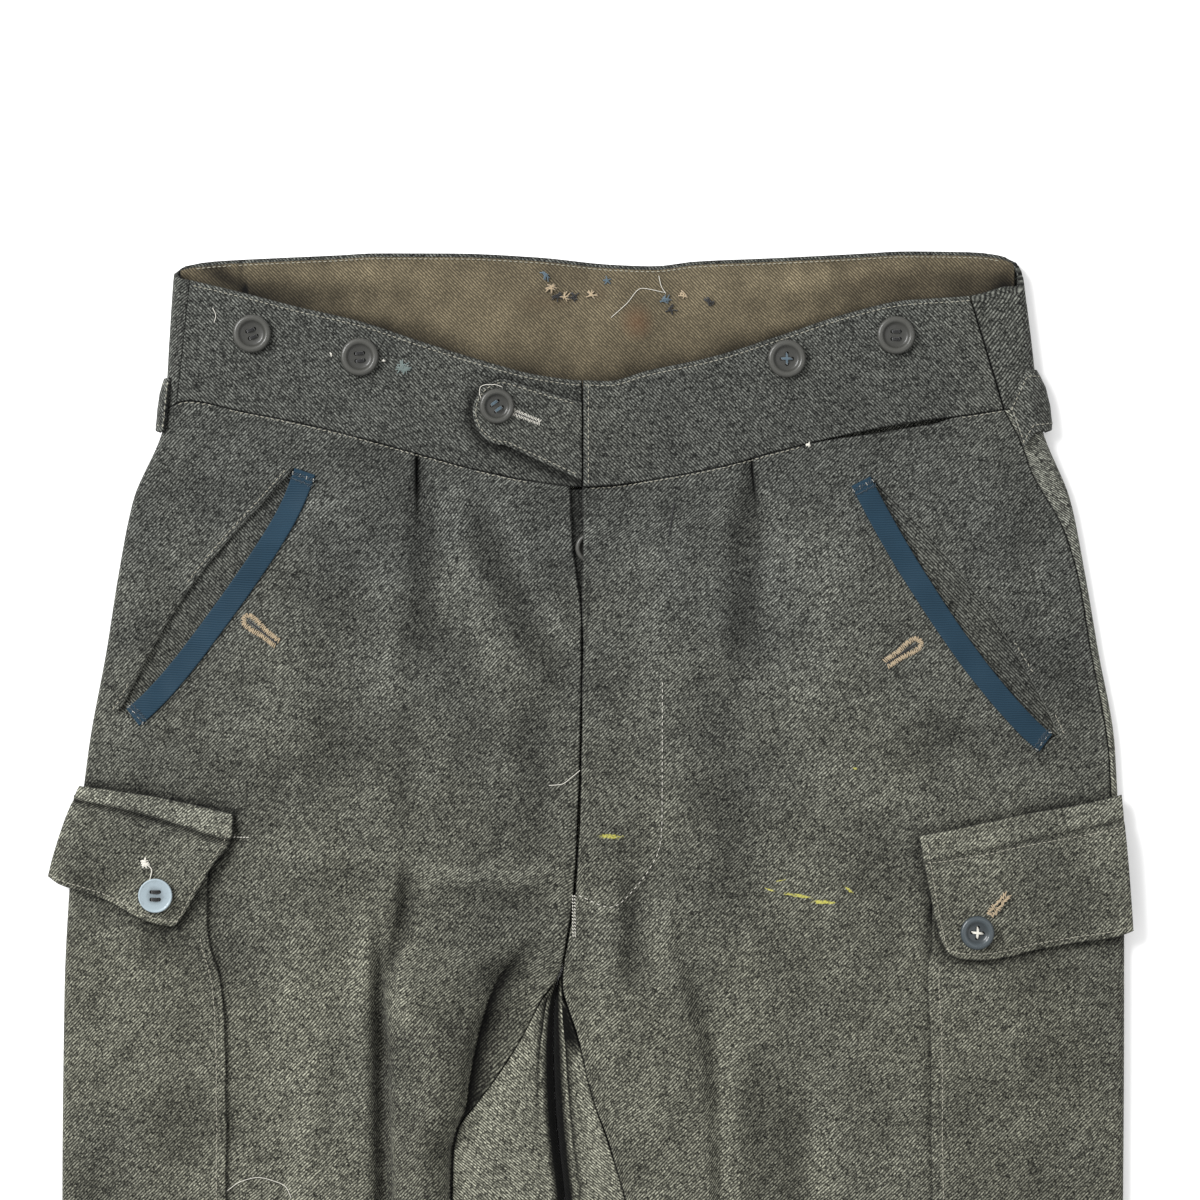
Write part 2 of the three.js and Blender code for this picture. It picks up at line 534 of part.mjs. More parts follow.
// The outward normals of a grid of points.
// Facing is 1 for a surface seen from above and -1 for one seen from below.
function gridNormals(grid, facing) {
  const within = (i, count) => Math.min(count - 1, Math.max(0, i));
  const at = (r, c) => grid[within(r, grid.length)][within(c, grid[0].length)];
  let total = 0;
  const normals = grid.map((row, r) =>
    row.map((_, c) => {
      const across = at(r, c + 1).clone().sub(at(r, c - 1));
      const down = at(r + 1, c).clone().sub(at(r - 1, c));
      const normal = across.cross(down).normalize();
      total += normal.z;
      return normal;
    }),
  );
  if (total * facing < 0) normals.flat().forEach((n) => n.negate());
  return normals;
}

// A closed wall between two grids of points.
function wallBetween(outer, inner) {
  const [rows, columns] = [outer.length, outer[0].length];
  const points = [...outer.flat(), ...inner.flat()];
  const top = (r, c) => r * columns + c;
  const under = (r, c) => rows * columns + r * columns + c;
  const index = [];
  const quad = (a, b, c, d) => index.push(a, b, c, a, c, d);
  for (let r = 0; r < rows - 1; r++)
    for (let c = 0; c < columns - 1; c++) {
      quad(top(r, c), top(r, c + 1), top(r + 1, c + 1), top(r + 1, c));
      quad(under(r, c), under(r + 1, c), under(r + 1, c + 1), under(r, c + 1));
    }
  for (let c = 0; c < columns - 1; c++) {
    quad(top(0, c + 1), top(0, c), under(0, c), under(0, c + 1));
    quad(top(rows - 1, c), top(rows - 1, c + 1), under(rows - 1, c + 1), under(rows - 1, c));
  }
  for (let r = 0; r < rows - 1; r++) {
    quad(top(r, 0), top(r + 1, 0), under(r + 1, 0), under(r, 0));
    quad(top(r + 1, columns - 1), top(r, columns - 1), under(r, columns - 1), under(r + 1, columns - 1));
  }
  let volume = 0;
  for (let i = 0; i < index.length; i += 3) {
    const [a, b, c] = [points[index[i]], points[index[i + 1]], points[index[i + 2]]];
    volume += a.dot(b.clone().cross(c));
  }
  if (volume < 0) index.reverse();
  const geometry = new THREE.BufferGeometry().setFromPoints(points);
  geometry.setIndex(index);
  return geometry;
}

// A wall of one thickness inside a grid of outer points, without the given columns at its ends.
function wall(grid, thickness, facing, [before, after] = [0, 0]) {
  const normals = gridNormals(grid, facing);
  const inner = grid.map((row, r) => row.map((p, c) => p.clone().addScaledVector(normals[r][c], -thickness)));
  const kept = (rows) => rows.map((row) => row.slice(before, row.length - after));
  return wallBetween(kept(grid), kept(inner));
}

// Moves a grid's points out along its normals.
function movedOut(grid, distance, facing) {
  const normals = gridNormals(grid, facing);
  return grid.map((row, r) => row.map((p, c) => p.clone().addScaledVector(normals[r][c], distance(r, c))));
}

function solid(geometry) {
  const bare = geometry.index ? geometry.clone() : geometry;
  for (const name of ["normal", "uv"]) bare.deleteAttribute(name);
  const merged = mergeVertices(bare, 1e-4);
  return new wasm.Manifold(
    new wasm.Mesh({
      numProp: 3,
      vertProperties: merged.attributes.position.array,
      triVerts: new Uint32Array(merged.index.array),
    }),
  );
}

function geometryOf(manifold) {
  const mesh = manifold.getMesh();
  const geometry = new THREE.BufferGeometry();
  geometry.setAttribute("position", new THREE.BufferAttribute(new Float32Array(mesh.vertProperties), 3));
  geometry.setIndex([...mesh.triVerts]);
  return geometry;
}

const MOUTH = { underTape: 1.5, past: 0.4, cutHeight: 60 };
const FACING_SIZE = { outward: 6, up: 2.5, inward: 4, down: 2, clearOfEdge: 3.5, taperFrom: 1.5 };
const ACROSS_SHARES = [0, 0.33, 0.67, 1];

// The open mouth of a hip pocket: from the side part's edge to under the tape.
function mouthCutter(side) {
  const outline = [
    ...side.mouth.map((p) => [p.sideX, p.sideDrop]),
    ...[...side.mouth].reverse().map((p) => [p.x - side.sign * MOUTH.underTape, p.drop + MOUTH.past]),
  ];
  const shape = new THREE.Shape(outline.map(([x, d]) => new THREE.Vector2(x, LENGTH / 2 - d)));
  return solid(new THREE.ExtrudeGeometry(shape, { depth: MOUTH.cutHeight, bevelEnabled: false }));
}

// The cloth behind a hip pocket's mouth, just under the front.
function facingGeometry(side) {
  const f = FACING_SIZE;
  const grid = side.mouth.map((p, i) => {
    const taper = Math.sin((Math.PI * (i + f.taperFrom)) / (side.mouth.length - 1 + 2 * f.taperFrom));
    const from = [p.sideX + side.sign * f.outward * taper, p.sideDrop - f.up * taper];
    const to = [p.x - side.sign * f.inward * taper, p.drop + f.down * taper];
    return ACROSS_SHARES.map((share) => {
      const [x, drop] = [mix(from[0], to[0], share), mix(from[1], to[1], share)];
      const limit = side.edge(drop) - side.sign * (edgeRadius(drop) + f.clearOfEdge);
      const inside = side.sign > 0 ? Math.min(x, limit) : Math.max(x, limit);
      return place(inside, drop, frontHeight(side, inside, drop) - WOOL - FACING_LAY);
    });
  });
  return wall(grid, FACING, 1);
}

function tapeGeometry(side) {
  const grid = side.mouth.map((p, i) => {
    const [a, b] = [side.mouth[Math.max(0, i - 1)], side.mouth[Math.min(side.mouth.length - 1, i + 1)]];
    const long = Math.hypot(b.x - a.x, b.drop - a.drop);
    const normal = [(b.drop - a.drop) / long, -(b.x - a.x) / long];
    return [-0.5, 0, 0.5].map((share) => {
      const [x, drop] = [p.x + normal[0] * share * TAPE_WIDTH, p.drop + normal[1] * share * TAPE_WIDTH];
      return place(x, drop, frontHeight(side, x, drop) + LAY + TAPE);
    });
  });
  return wall(grid, TAPE, 1);
}

// The thigh pocket: the panel's own points round the side fold and across to the pocket's edge, moved out.
function pocketRows(side) {
  const top = side === RIGHT ? POCKET.topRight : POCKET.topLeft;
  return [top, ...ROWS.filter((row) => row > top + 4 && row <= POCKET.bottom)];
}
function pocketPoints(side) {
  const roll = (d) => side.edge(d) - side.sign * edgeRadius(d);
  const start = side.seam ? (d) => seamLine(side, d) - side.sign * SEAM_HALF_GAP : roll;
  return pocketRows(side).map((drop) => {
    const points = [POCKET.wrapAngle, 0, ROLL_ANGLES[0]].map((angle) => edgePoint(side, drop, angle));
    for (const share of OUTER_SHARES) {
      const x = mix(start(drop), side.pocket(drop), share);
      points.push(place(x, drop, frontHeight(side, x, drop)));
    }
    return points;
  });
}
function pocketPuff(r, c, rows) {
  const down = Math.sin(Math.PI * clamp01(r / (rows - 1))) ** 0.7;
  return POCKET.puff * down * POCKET_PUFF_ACROSS[c];
}
function pocketGeometry(side) {
  const grid = pocketPoints(side);
  const stand = (r, c) => POCKET_LAY_ACROSS[c] + pocketPuff(r, c, grid.length);
  const outer = movedOut(grid, (r, c) => stand(r, c) + POCKET_CLOTH, 1);
  const inner = movedOut(grid, stand, 1);
  return wallBetween(outer, inner);
}

// The height that a thigh flap lies at, over the pocket and past the side edge.
function flapHeight(side, x, drop, down) {
  const roll = side.edge(drop) - side.sign * edgeRadius(drop);
  const past = Math.max(0, (x - roll) * side.sign);
  const at = past > 0 ? roll : x;
  const stand = mix(FLAP_LAY, LAY + POCKET_CLOTH + FLAP_REACH, smooth(0, 0.4, down));
  return frontHeight(side, at, drop) + stand - FLAP_SAG * past * past;
}
// Smooth curves for x and drop along a row of places, by the share of its length.
function edgeTrack(points) {
  const run = points.reduce((at, [x, d], i) => {
    const [px, pd] = points[Math.max(0, i - 1)];
    return [...at, (at[i - 1] ?? 0) + Math.hypot(x - px, d - pd)];
  }, []);
  const rows = points.map(([x, drop], i) => ({ t: run[i] / run[run.length - 1], x, drop }));
  return [track(rows, "x", "t"), track(rows, "drop", "t")];
}
const flapTracks = (flap) => ["top", "bottom", "outer", "inner"].map((edge) => edgeTrack(flap[edge]));
const FLAP_TRACKS = { right: flapTracks(RIGHT_FLAP), left: flapTracks(LEFT_FLAP) };
// A place on a flap, by its shares across and down between its four curved edges.
function flapPlace(side, across, down) {
  return [0, 1].map((axis) => {
    const [top, bottom, outer, inner] = FLAP_TRACKS[side.name].map((edge) => edge[axis]);
    const corners = mix(mix(top(0), top(1), across), mix(bottom(0), bottom(1), across), down);
    return mix(top(across), bottom(across), down) + mix(outer(down), inner(down), across) - corners;
  });
}
function flapGeometry(side) {
  const grid = FLAP_DOWN.map((down) =>
    FLAP_ACROSS.map((across) => {
      const [x, drop] = flapPlace(side, across, down);
      return place(x, drop, flapHeight(side, x, drop, down) + FLAP_CLOTH);
    }),
  );
  return wall(grid, FLAP_CLOTH, 1);
}

// The waistband.
function frontBandGeometry(side) {
  const grid = BAND_SHARES.map((down) => {
    const [from, to, pieces] =
      side === RIGHT
        ? [RIGHT_BAND.outer, RIGHT_BAND.inner, RIGHT_BAND.pieces]
        : [LEFT_BAND.inner, mix(LEFT_BAND.outerTop, LEFT_BAND.outerSeam, down), LEFT_BAND.pieces];
    const points = [];
    for (let i = 0; i <= pieces; i++) {
      const x = mix(from, to, i / pieces);
      const drop = mix(frontTop(x), frontSeam(x) - SEAM_HALF_GAP, down);
      points.push(place(x, drop, bandHeight(side, x, drop)));
    }
    return points;
  });
  return wall(grid, BAND, 1);
}
function bandHeight(side, x, drop) {
  const b = BAND_LIFT;
  const lift = side === LEFT ? b.height * Math.exp(-Math.max(0, x - b.from) / b.reach) : 0;
  return baseHeight(side, x, drop) + lift;
}

// One row of the back waistband: on top at the right, round the side, underneath and up the left side.
function backBandRow(share) {
  const b = BACK_BAND_ENDS;
  const row = (x) => mix(backTop(x), BAND_SEAM_DROP - SEAM_HALF_GAP, share);
  const over = (x) => mix(frontTop(x), frontSeam(x) - SEAM_HALF_GAP, share);
  const topOf = (side, x) => place(x, over(x), baseHeight(side, x, over(x)));
  const turned = (side, angle, drop) => {
    const at = edgePoint(side, drop, angle * QUARTER);
    return angle > 0 ? edgePoint(side, mix(drop, over(at.x), angle), angle * QUARTER) : at;
  };
  const points = [topOf(RIGHT, b.right)];
  for (const angle of [1, 0.5, 0, -0.5, -1]) points.push(turned(RIGHT, angle, row(b.turnRight)));
  for (const at of BACK_BAND_FLAT.shares) {
    const x = mix(BACK_BAND_FLAT.from, BACK_BAND_FLAT.to, at);
    points.push(place(x, row(x), 0));
  }
  for (const angle of [-1, -0.5, 0, 0.5, 1]) points.push(turned(LEFT, angle, row(b.turnLeft)));
  const leftSeam = mix(b.topLeft, b.seamLeft, share);
  points.push(topOf(LEFT, mix(leftSeam, points[points.length - 1].x, 0.5)));
  points.push(topOf(LEFT, leftSeam));
  return points;
}
const backBandGeometry = () => wall(BAND_SHARES.map(backBandRow), BACK_BAND, -1);

function liningGeometry() {
  const l = LINING_PLACE;
  const grid = BAND_SHARES.map((down) => {
    const points = [];
    for (let i = 0; i <= l.pieces; i++) {
      const x = mix(l.right, l.left, i / l.pieces);
      points.push(place(x, mix(backTop(x) + l.inset, l.bottom, down), BACK_BAND + LAY + LINING));
    }
    return points;
  });
  return wall(grid, LINING, 1);
}

// The button tab that reaches from the fly over the right half of the band.
const TAB = {
  inner: -3.3,
  outer: -54.6,
  top: 71.8,
  bottom: 108.6,
  outerMiddle: 76.5,
  outerHalf: 15.4,
  roundFrom: 0.7,
  narrowBy: 0.62,
  turnBy: 0.8,
  leastHalf: 0.16,
};
const TAB_DOWN = [-1, -0.5, 0, 0.5, 1];
const TAB_SHARES = [0, 0.15, 0.32, 0.5, 0.66, 0.8, 0.9, 0.97, 1];
function tabEdge(share, down) {
  const t = TAB;
  const beyond = Math.max(0, share - t.roundFrom) / (1 - t.roundFrom);
  const round = Math.max(t.leastHalf, Math.sqrt(Math.max(0, 1 - beyond ** 2)));
  const half = mix((t.bottom - t.top) / 2, t.outerHalf, smooth(0, t.narrowBy, share)) * round;
  const middle = mix((t.bottom + t.top) / 2, t.outerMiddle, smooth(0, t.turnBy, share));
  return middle + half * down;
}
const tabHeight = (x, drop) => bandHeight(RIGHT, x, drop) + LAY + TAB_CLOTH;
function tabGeometry() {
  const grid = TAB_DOWN.map((down) =>
    TAB_SHARES.map((share) => {
      const [x, drop] = [mix(TAB.inner, TAB.outer, share), tabEdge(share, down)];
      return place(x, drop, tabHeight(x, drop));
    }),
  );
  return wall(grid, TAB_CLOTH, 1);
}

// The strip that carries the fly buttons, under the right front's edge.
const UNDERLAP = { drops: [113, 126, 140, 155, 172, 190, 210], across: [-15, -9, -2, 5, 12] };
function underlapHeight(x, drop) {
  return frontHeight(RIGHT, Math.min(x, RIGHT.inner(drop)), drop) - WOOL - UNDERLAP_LAY;
}
function underlapGeometry() {
  const row = (drop) => UNDERLAP.across.map((x) => place(x, drop, underlapHeight(x, drop)));
  return wall(UNDERLAP.drops.map(row), UNDERLAP_CLOTH, 1);
}

// A side strap lies slanting round the side fold. The left one ends on top beside the side seam,
// the right one on the round of the fold.
const STRAPS = {
  left: {
    top: 58,
    bottom: 85,
    endTop: [197.5, 73.5],
    endBottom: [204, 92],
    angles: [QUARTER, 0.9, 0.45, 0, -0.4],
    stand: [1, 1.3, 1.8, 2.6, 2.3, 0],
  },
  right: { top: 61, bottom: 86, angles: [1.1, 0.75, 0.4, 0, -0.4], stand: [0.5, 0.9, 1.3, 1.2, 0] },
};
const STRAP_ROWS = [
  { share: 0, lift: 0.35 },
  { share: 0.33, lift: 0.75 },
  { share: 0.67, lift: 1 },
  { share: 1, lift: 0.9 },
];
function strapEnd(side, strap, share) {
  const x = mix(strap.endTop[0], strap.endBottom[0], share);
  const drop = mix(strap.endTop[1], strap.endBottom[1], share);
  return place(x, drop, baseHeight(side, x, drop));
}
function strapGeometry(side) {
  const strap = STRAPS[side.name];
  const grid = STRAP_ROWS.map(({ share }) => {
    const atEdge = mix(strap.top, strap.bottom, share);
    const round = strap.angles.map((angle) => edgePoint(side, atEdge, angle));
    return strap.endTop ? [strapEnd(side, strap, share), ...round] : round;
  });
  const stand = (r, c) => STRAP_LAY + STRAP_ROWS[r].lift * strap.stand[c];
  return wallBetween(
    movedOut(grid, (r, c) => stand(r, c) + STRAP_CLOTH, 1),
    movedOut(grid, stand, 1),
  );
}

// A sewn button: a dished disc with a raised rim.
const BUTTON_PROFILE = [
  { reach: 0, rise: 0 },
  { reach: 0.72, rise: 0 },
  { reach: 1, rise: 0.45 },
  { reach: 0.93, rise: 0.88 },
  { reach: 0.72, rise: 1 },
  { reach: 0.5, rise: 0.62 },
  { reach: 0, rise: 0.58 },
];
const BUTTON_SIDES = 16;
function buttonGeometry({ radius, height }) {
  const profile = BUTTON_PROFILE.map((p) => new THREE.Vector2(p.reach * radius, p.rise * height));
  const lathe = new THREE.LatheGeometry(profile, BUTTON_SIDES);
  lathe.rotateX(QUARTER);
  return lathe;
}

const materials = Object.fromEntries(
  Object.entries(COLOURS).map(([name, color]) => [
    name,
    new THREE.MeshStandardMaterial({ color, roughness: name.includes("utton") ? 0.35 : 0.95, metalness: 0 }),
  ]),
);

const trousers = new THREE.Group();
function add(name, geometry, material) {
  geometry.computeVertexNormals();
  const mesh = new THREE.Mesh(geometry, materials[material]);
  mesh.name = name;
  trousers.add(mesh);
  return mesh;
}
const SEAT_REACH = 0.75; // the share of a button's radius that it sits on
const TAB_SEAT = 5;
const FLAP_SEAT_DOWN = 0.8;

for (const side of [RIGHT, LEFT]) {
  const front = wall(ROWS.map((row) => frontRow(side, row)), WOOL, 1, [1, 0]);
  add(`front_${side.name}`, geometryOf(solid(front).subtract(mouthCutter(side))), "wool");
  add(`back_${side.name}`, wall(ROWS.map((row) => backRow(side, row)), WOOL, -1, [0, 1]), "wool");
  add(`waistband_front_${side.name}`, frontBandGeometry(side), "wool");
  add(`hip_pocket_facing_${side.name}`, facingGeometry(side), "wool");
  add(`hip_pocket_tape_${side.name}`, tapeGeometry(side), "tape");
  add(`thigh_pocket_${side.name}`, pocketGeometry(side), "wool");
  add(`thigh_flap_${side.name}`, flapGeometry(side), "wool");
  add(`side_strap_${side.name}`, strapGeometry(side), "wool");
}
add("waistband_back", backBandGeometry(), "wool");
add("waistband_lining", liningGeometry(), "lining");
add("waist_tab", tabGeometry(), "wool");
add("fly_underlap", underlapGeometry(), "wool");

function addButton(name, x, drop, z, size, colour) {
  const button = add(name, buttonGeometry(size), colour);
  button.position.copy(place(x, drop, z));
}
// The highest place of a surface under a button.
function seatHeight(surface, x, drop, radius) {
  let highest = surface(x, drop);
  for (let a = 0; a < 2 * Math.PI; a += Math.PI / 4) {
    const reach = radius * SEAT_REACH;
    highest = Math.max(highest, surface(x + reach * Math.cos(a), drop + reach * Math.sin(a)));
  }
  return highest + LAY;
}
for (const b of BUTTONS) {
  const side = b.x < 0 ? RIGHT : LEFT;
  const z = seatHeight((x, d) => bandHeight(side, x, d), b.x, b.drop, b.size.radius);
  addButton(b.name, b.x, b.drop, z, b.size, b.colour);
}
const tabSeat = seatHeight(tabHeight, TAB_BUTTON.x, TAB_BUTTON.drop, TAB_SEAT);
addButton("tab_button", TAB_BUTTON.x, TAB_BUTTON.drop, tabSeat, BRACE_BUTTON, "darkButton");
for (const b of FLAP_BUTTONS) {
  const side = b.x < 0 ? RIGHT : LEFT;
  const onFlap = (x, d) => flapHeight(side, x, d, FLAP_SEAT_DOWN) + FLAP_CLOTH;
  const z = seatHeight(onFlap, b.x, b.drop, POCKET_BUTTON.radius);
  addButton(b.name, b.x, b.drop, z, POCKET_BUTTON, "paleButton");
}
const flySeat = underlapHeight(RIGHT.inner(FLY_BUTTON_PLACE.drop), FLY_BUTTON_PLACE.drop) + LAY;
addButton("fly_button", FLY_BUTTON_PLACE.x, FLY_BUTTON_PLACE.drop, flySeat, FLY_BUTTON, "darkButton");

export default trousers;
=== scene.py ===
"""The looks of a pair of grey wool military trousers that lie flat on their back.

Places on the garment are given in millimetres by x and by drop, the distance below the highest waist edge.
"Right" and "left" are the wearer's, so the right leg has negative x.
"""

import math

import bmesh
import bpy
import numpy as np
from mathutils import Matrix, Vector


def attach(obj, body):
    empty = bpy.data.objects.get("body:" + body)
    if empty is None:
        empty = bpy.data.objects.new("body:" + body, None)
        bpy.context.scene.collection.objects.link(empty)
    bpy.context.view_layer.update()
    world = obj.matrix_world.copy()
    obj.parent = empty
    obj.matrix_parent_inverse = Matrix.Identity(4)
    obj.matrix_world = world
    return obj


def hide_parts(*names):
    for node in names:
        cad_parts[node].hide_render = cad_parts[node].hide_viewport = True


bl_info = {
    "name": "Military trousers",
    "version": (1, 0, 0),
    "blender": (4, 5, 0),
    "location": "View3D > Sidebar > Trousers",
    "description": "Builds wool twill trousers, laid flat, around their CAD frame",
    "category": "Add Mesh",
}

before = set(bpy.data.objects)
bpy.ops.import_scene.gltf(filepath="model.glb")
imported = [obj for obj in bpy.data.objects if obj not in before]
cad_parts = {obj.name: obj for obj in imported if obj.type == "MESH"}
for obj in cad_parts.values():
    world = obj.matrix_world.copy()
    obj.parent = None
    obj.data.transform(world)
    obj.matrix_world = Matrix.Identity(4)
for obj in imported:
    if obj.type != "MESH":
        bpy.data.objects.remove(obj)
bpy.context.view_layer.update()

MM = 0.001
LENGTH = 1040.0
BAND_SEAM_DROP = 75.0
QUARTER = math.pi / 2
RIGHT, LEFT = "right", "left"
SIGN = {RIGHT: -1, LEFT: 1}


# Tables of the garment's form


def table(columns, rows):
    """A dictionary of columns from listed rows."""
    return dict(zip(columns.split(), np.array(rows, float).T))


def rows_of(columns):
    """A table's rows, one after the other."""
    return zip(*columns.values())


def drop_of(grid):
    return LENGTH / 2 - grid[..., 1]


def linked(name, data):
    """A new object in the scene."""
    piece = bpy.data.objects.new(name, data)
    bpy.context.scene.collection.objects.link(piece)
    return piece


BODY = table(
    "drop right left radius puff",
    [
        (5, -194.5, 201, 4.5, 1.8),
        (10, -195.4, 204, 4.5, 1.8),
        (24, -196.5, 206, 4.5, 1.8),
        (48, -198, 209, 4.5, 1.8),
        (80, -200, 212.5, 4.5, 1.8),
        (118, -215, 227, 3.5, 3.2),
        (153, -222, 234, 3.1, 3.6),
        (188, -227.5, 240, 3, 2.8),
        (235, -236, 248, 3, 2.8),
        (306, -243.5, 250.5, 3, 4.2),
        (350, -245.5, 250.5, 3, 4.6),
        (447, -246.5, 250, 3, 3.4),
        (541, -244.5, 248, 3, 2.2),
        (682, -239, 243, 2.9, 1.2),
        (870, -231, 236, 2.8, 0.9),
        (LENGTH, -224, 229, 2.7, 0.6),
    ],
)
INNER_EDGE = table(
    "drop right left radius",
    [
        (344, -14.78, -14.62, 3.2),
        (350, -15.68, -15.52, 3.3),
        (360, -16.78, -16.62, 3.9),
        (376, -16.88, -16.72, 5.4),
        (400, -16.08, -15.92, 6),
        (423, -14.08, -13.92, 6),
        (447, -11.58, -11.32, 5.8),
        (541, -12.5, -4, 4.4),
        (682, -15.5, 4.2, 3.2),
        (870, -20.7, 15.9, 2.8),
        (LENGTH, -27.7, 27.7, 2.7),
    ],
)
FRONT = {
    RIGHT: table(
        "drop inner crease crest pocket seam rise",
        [
            (75, -8.9, -81, -14, -150, -200, 0),
            (108, -8.9, -81.4, -14, -152, -210, 0),
            (140, -7.4, -80.5, -13, -156, -215, 0),
            (158, -5.2, -80, -12, -158, -220, 0),
            (177, -3.4, -82, -11, -161, -225, 0),
            (240, -4.2, -86.5, -12, -170, -236, 0),
            (282, -5.8, -88, -14, -177, -241, 0.5),
            (301, -7.1, -89, -15, -179, -243, 1.5),
            (314, -8.6, -94, -17, -179, -244, 3),
            (326, -10.7, -98.4, -31, -177.5, -245, 6),
            (338, -12.9, -97.8, -43, -174, -245, 9),
            (345, -16.5, -97, -47.5, -172.5, -245, 10),
            (350, -20.8, -96.4, -49.5, -171.8, -245, 10.5),
            (368, -30.6, -95.2, -55, -170.3, -246, 11.5),
            (388, -43.2, -94, -58.7, -169.9, -246, 12),
            (401, -53, -93.6, -60.5, -169.8, -246, 12),
            (412, -61.2, -93.4, -63.7, -169.8, -246, 12),
            (425, -63.8, -93, -66.3, -169.8, -246, 12),
            (447, -64.4, -92.6, -66.9, -170, -246, 11),
            (500, -58, -94, -62.5, -171, -245, 7),
            (560, -47, -98, -58, -171, -244, 2.5),
            (640, -34, -104, -56, -171, -241, 0),
            (760, -26, -111, -58, -172, -236, 0),
            (LENGTH, -34, -124, -68, -174, -224, 0),
        ],
    ),
    LEFT: table(
        "drop inner crease pocket seam rise",
        [
            (75, -2.6, 76, 128, 195, 0),
            (90, -2.6, 76.5, 130, 203, 0),
            (104, -2.6, 77, 132, 208, 0),
            (117, -2.7, 78.5, 134, 215.4, 0),
            (127, -2.8, 79, 136, 221.4, 0),
            (136, -2.8, 79, 138, 225.2, 0),
            (156, -2.8, 78, 141, 230.8, 0),
            (187, -2.9, 75, 146, 236, 0),
            (240, -3.6, 66, 153, 245, 0),
            (282, -5.0, 52, 158, 246.5, 0.5),
            (301, -6.4, 46, 161, 246.8, 1.5),
            (325, -10, 44.5, 161, 247, 3),
            (338, -12, 48.6, 158.8, 247, 4.5),
            (346, -12.2, 51.5, 158.8, 247, 5.2),
            (358, -9.2, 55.5, 159.4, 247, 6),
            (369, -5.6, 58.6, 160.2, 247, 6.6),
            (382, -2.4, 60.8, 160.3, 247, 7),
            (400, 2.4, 62.3, 160.3, 247, 7.2),
            (418, 8.9, 62.8, 160.3, 246.8, 7.2),
            (447, 17.4, 63, 161, 246.5, 7),
            (500, 27, 65, 160, 243.5, 4),
            (560, 28, 70, 159, 240.5, 1.4),
            (640, 24, 80, 157, 237.5, 0),
            (760, 20, 98, 156, 231.5, 0),
            (LENGTH, 34, 128, 158, 219, 0),
        ],
    ),
}
CENTRE_BACK = table("drop x", [(75, 0), (200, -4), (300, -10), (344, -14.5)])
FRONT_BAND = table(
    "x top seam",
    [
        (-200, 12, 75),
        (-188.5, 14, 71),
        (-163, 20, 76),
        (-136, 27, 81.5),
        (-108, 33.5, 88.3),
        (-79, 43, 96.3),
        (-51, 51.8, 103.9),
        (-23, 59, 109.5),
        (-2, 61.5, 111.5),
        (9, 61.8, 111),
        (27, 57, 108.6),
        (59, 50, 102.7),
        (92, 39.5, 94),
        (121, 30, 87),
        (148, 23.8, 81.8),
        (179, 21.5, 77.6),
        (195.4, 17, 75),
    ],
)
BACK_BAND = table(
    "x top",
    [
        (-195.6, 10.6),
        (-192.5, 7.6),
        (-186, 5.9),
        (-176, 4.7),
        (-148, 3.2),
        (-119, 1.9),
        (-100, 0.9),
        (-63, 1),
        (-25, 2.8),
        (12, 6.4),
        (31, 7),
        (50, 4.8),
        (87, 3.2),
        (125, 1.3),
        (150, 0),
        (181, 0.4),
        (193, 1.8),
        (200, 4.2),
        (204, 9),
    ],
)

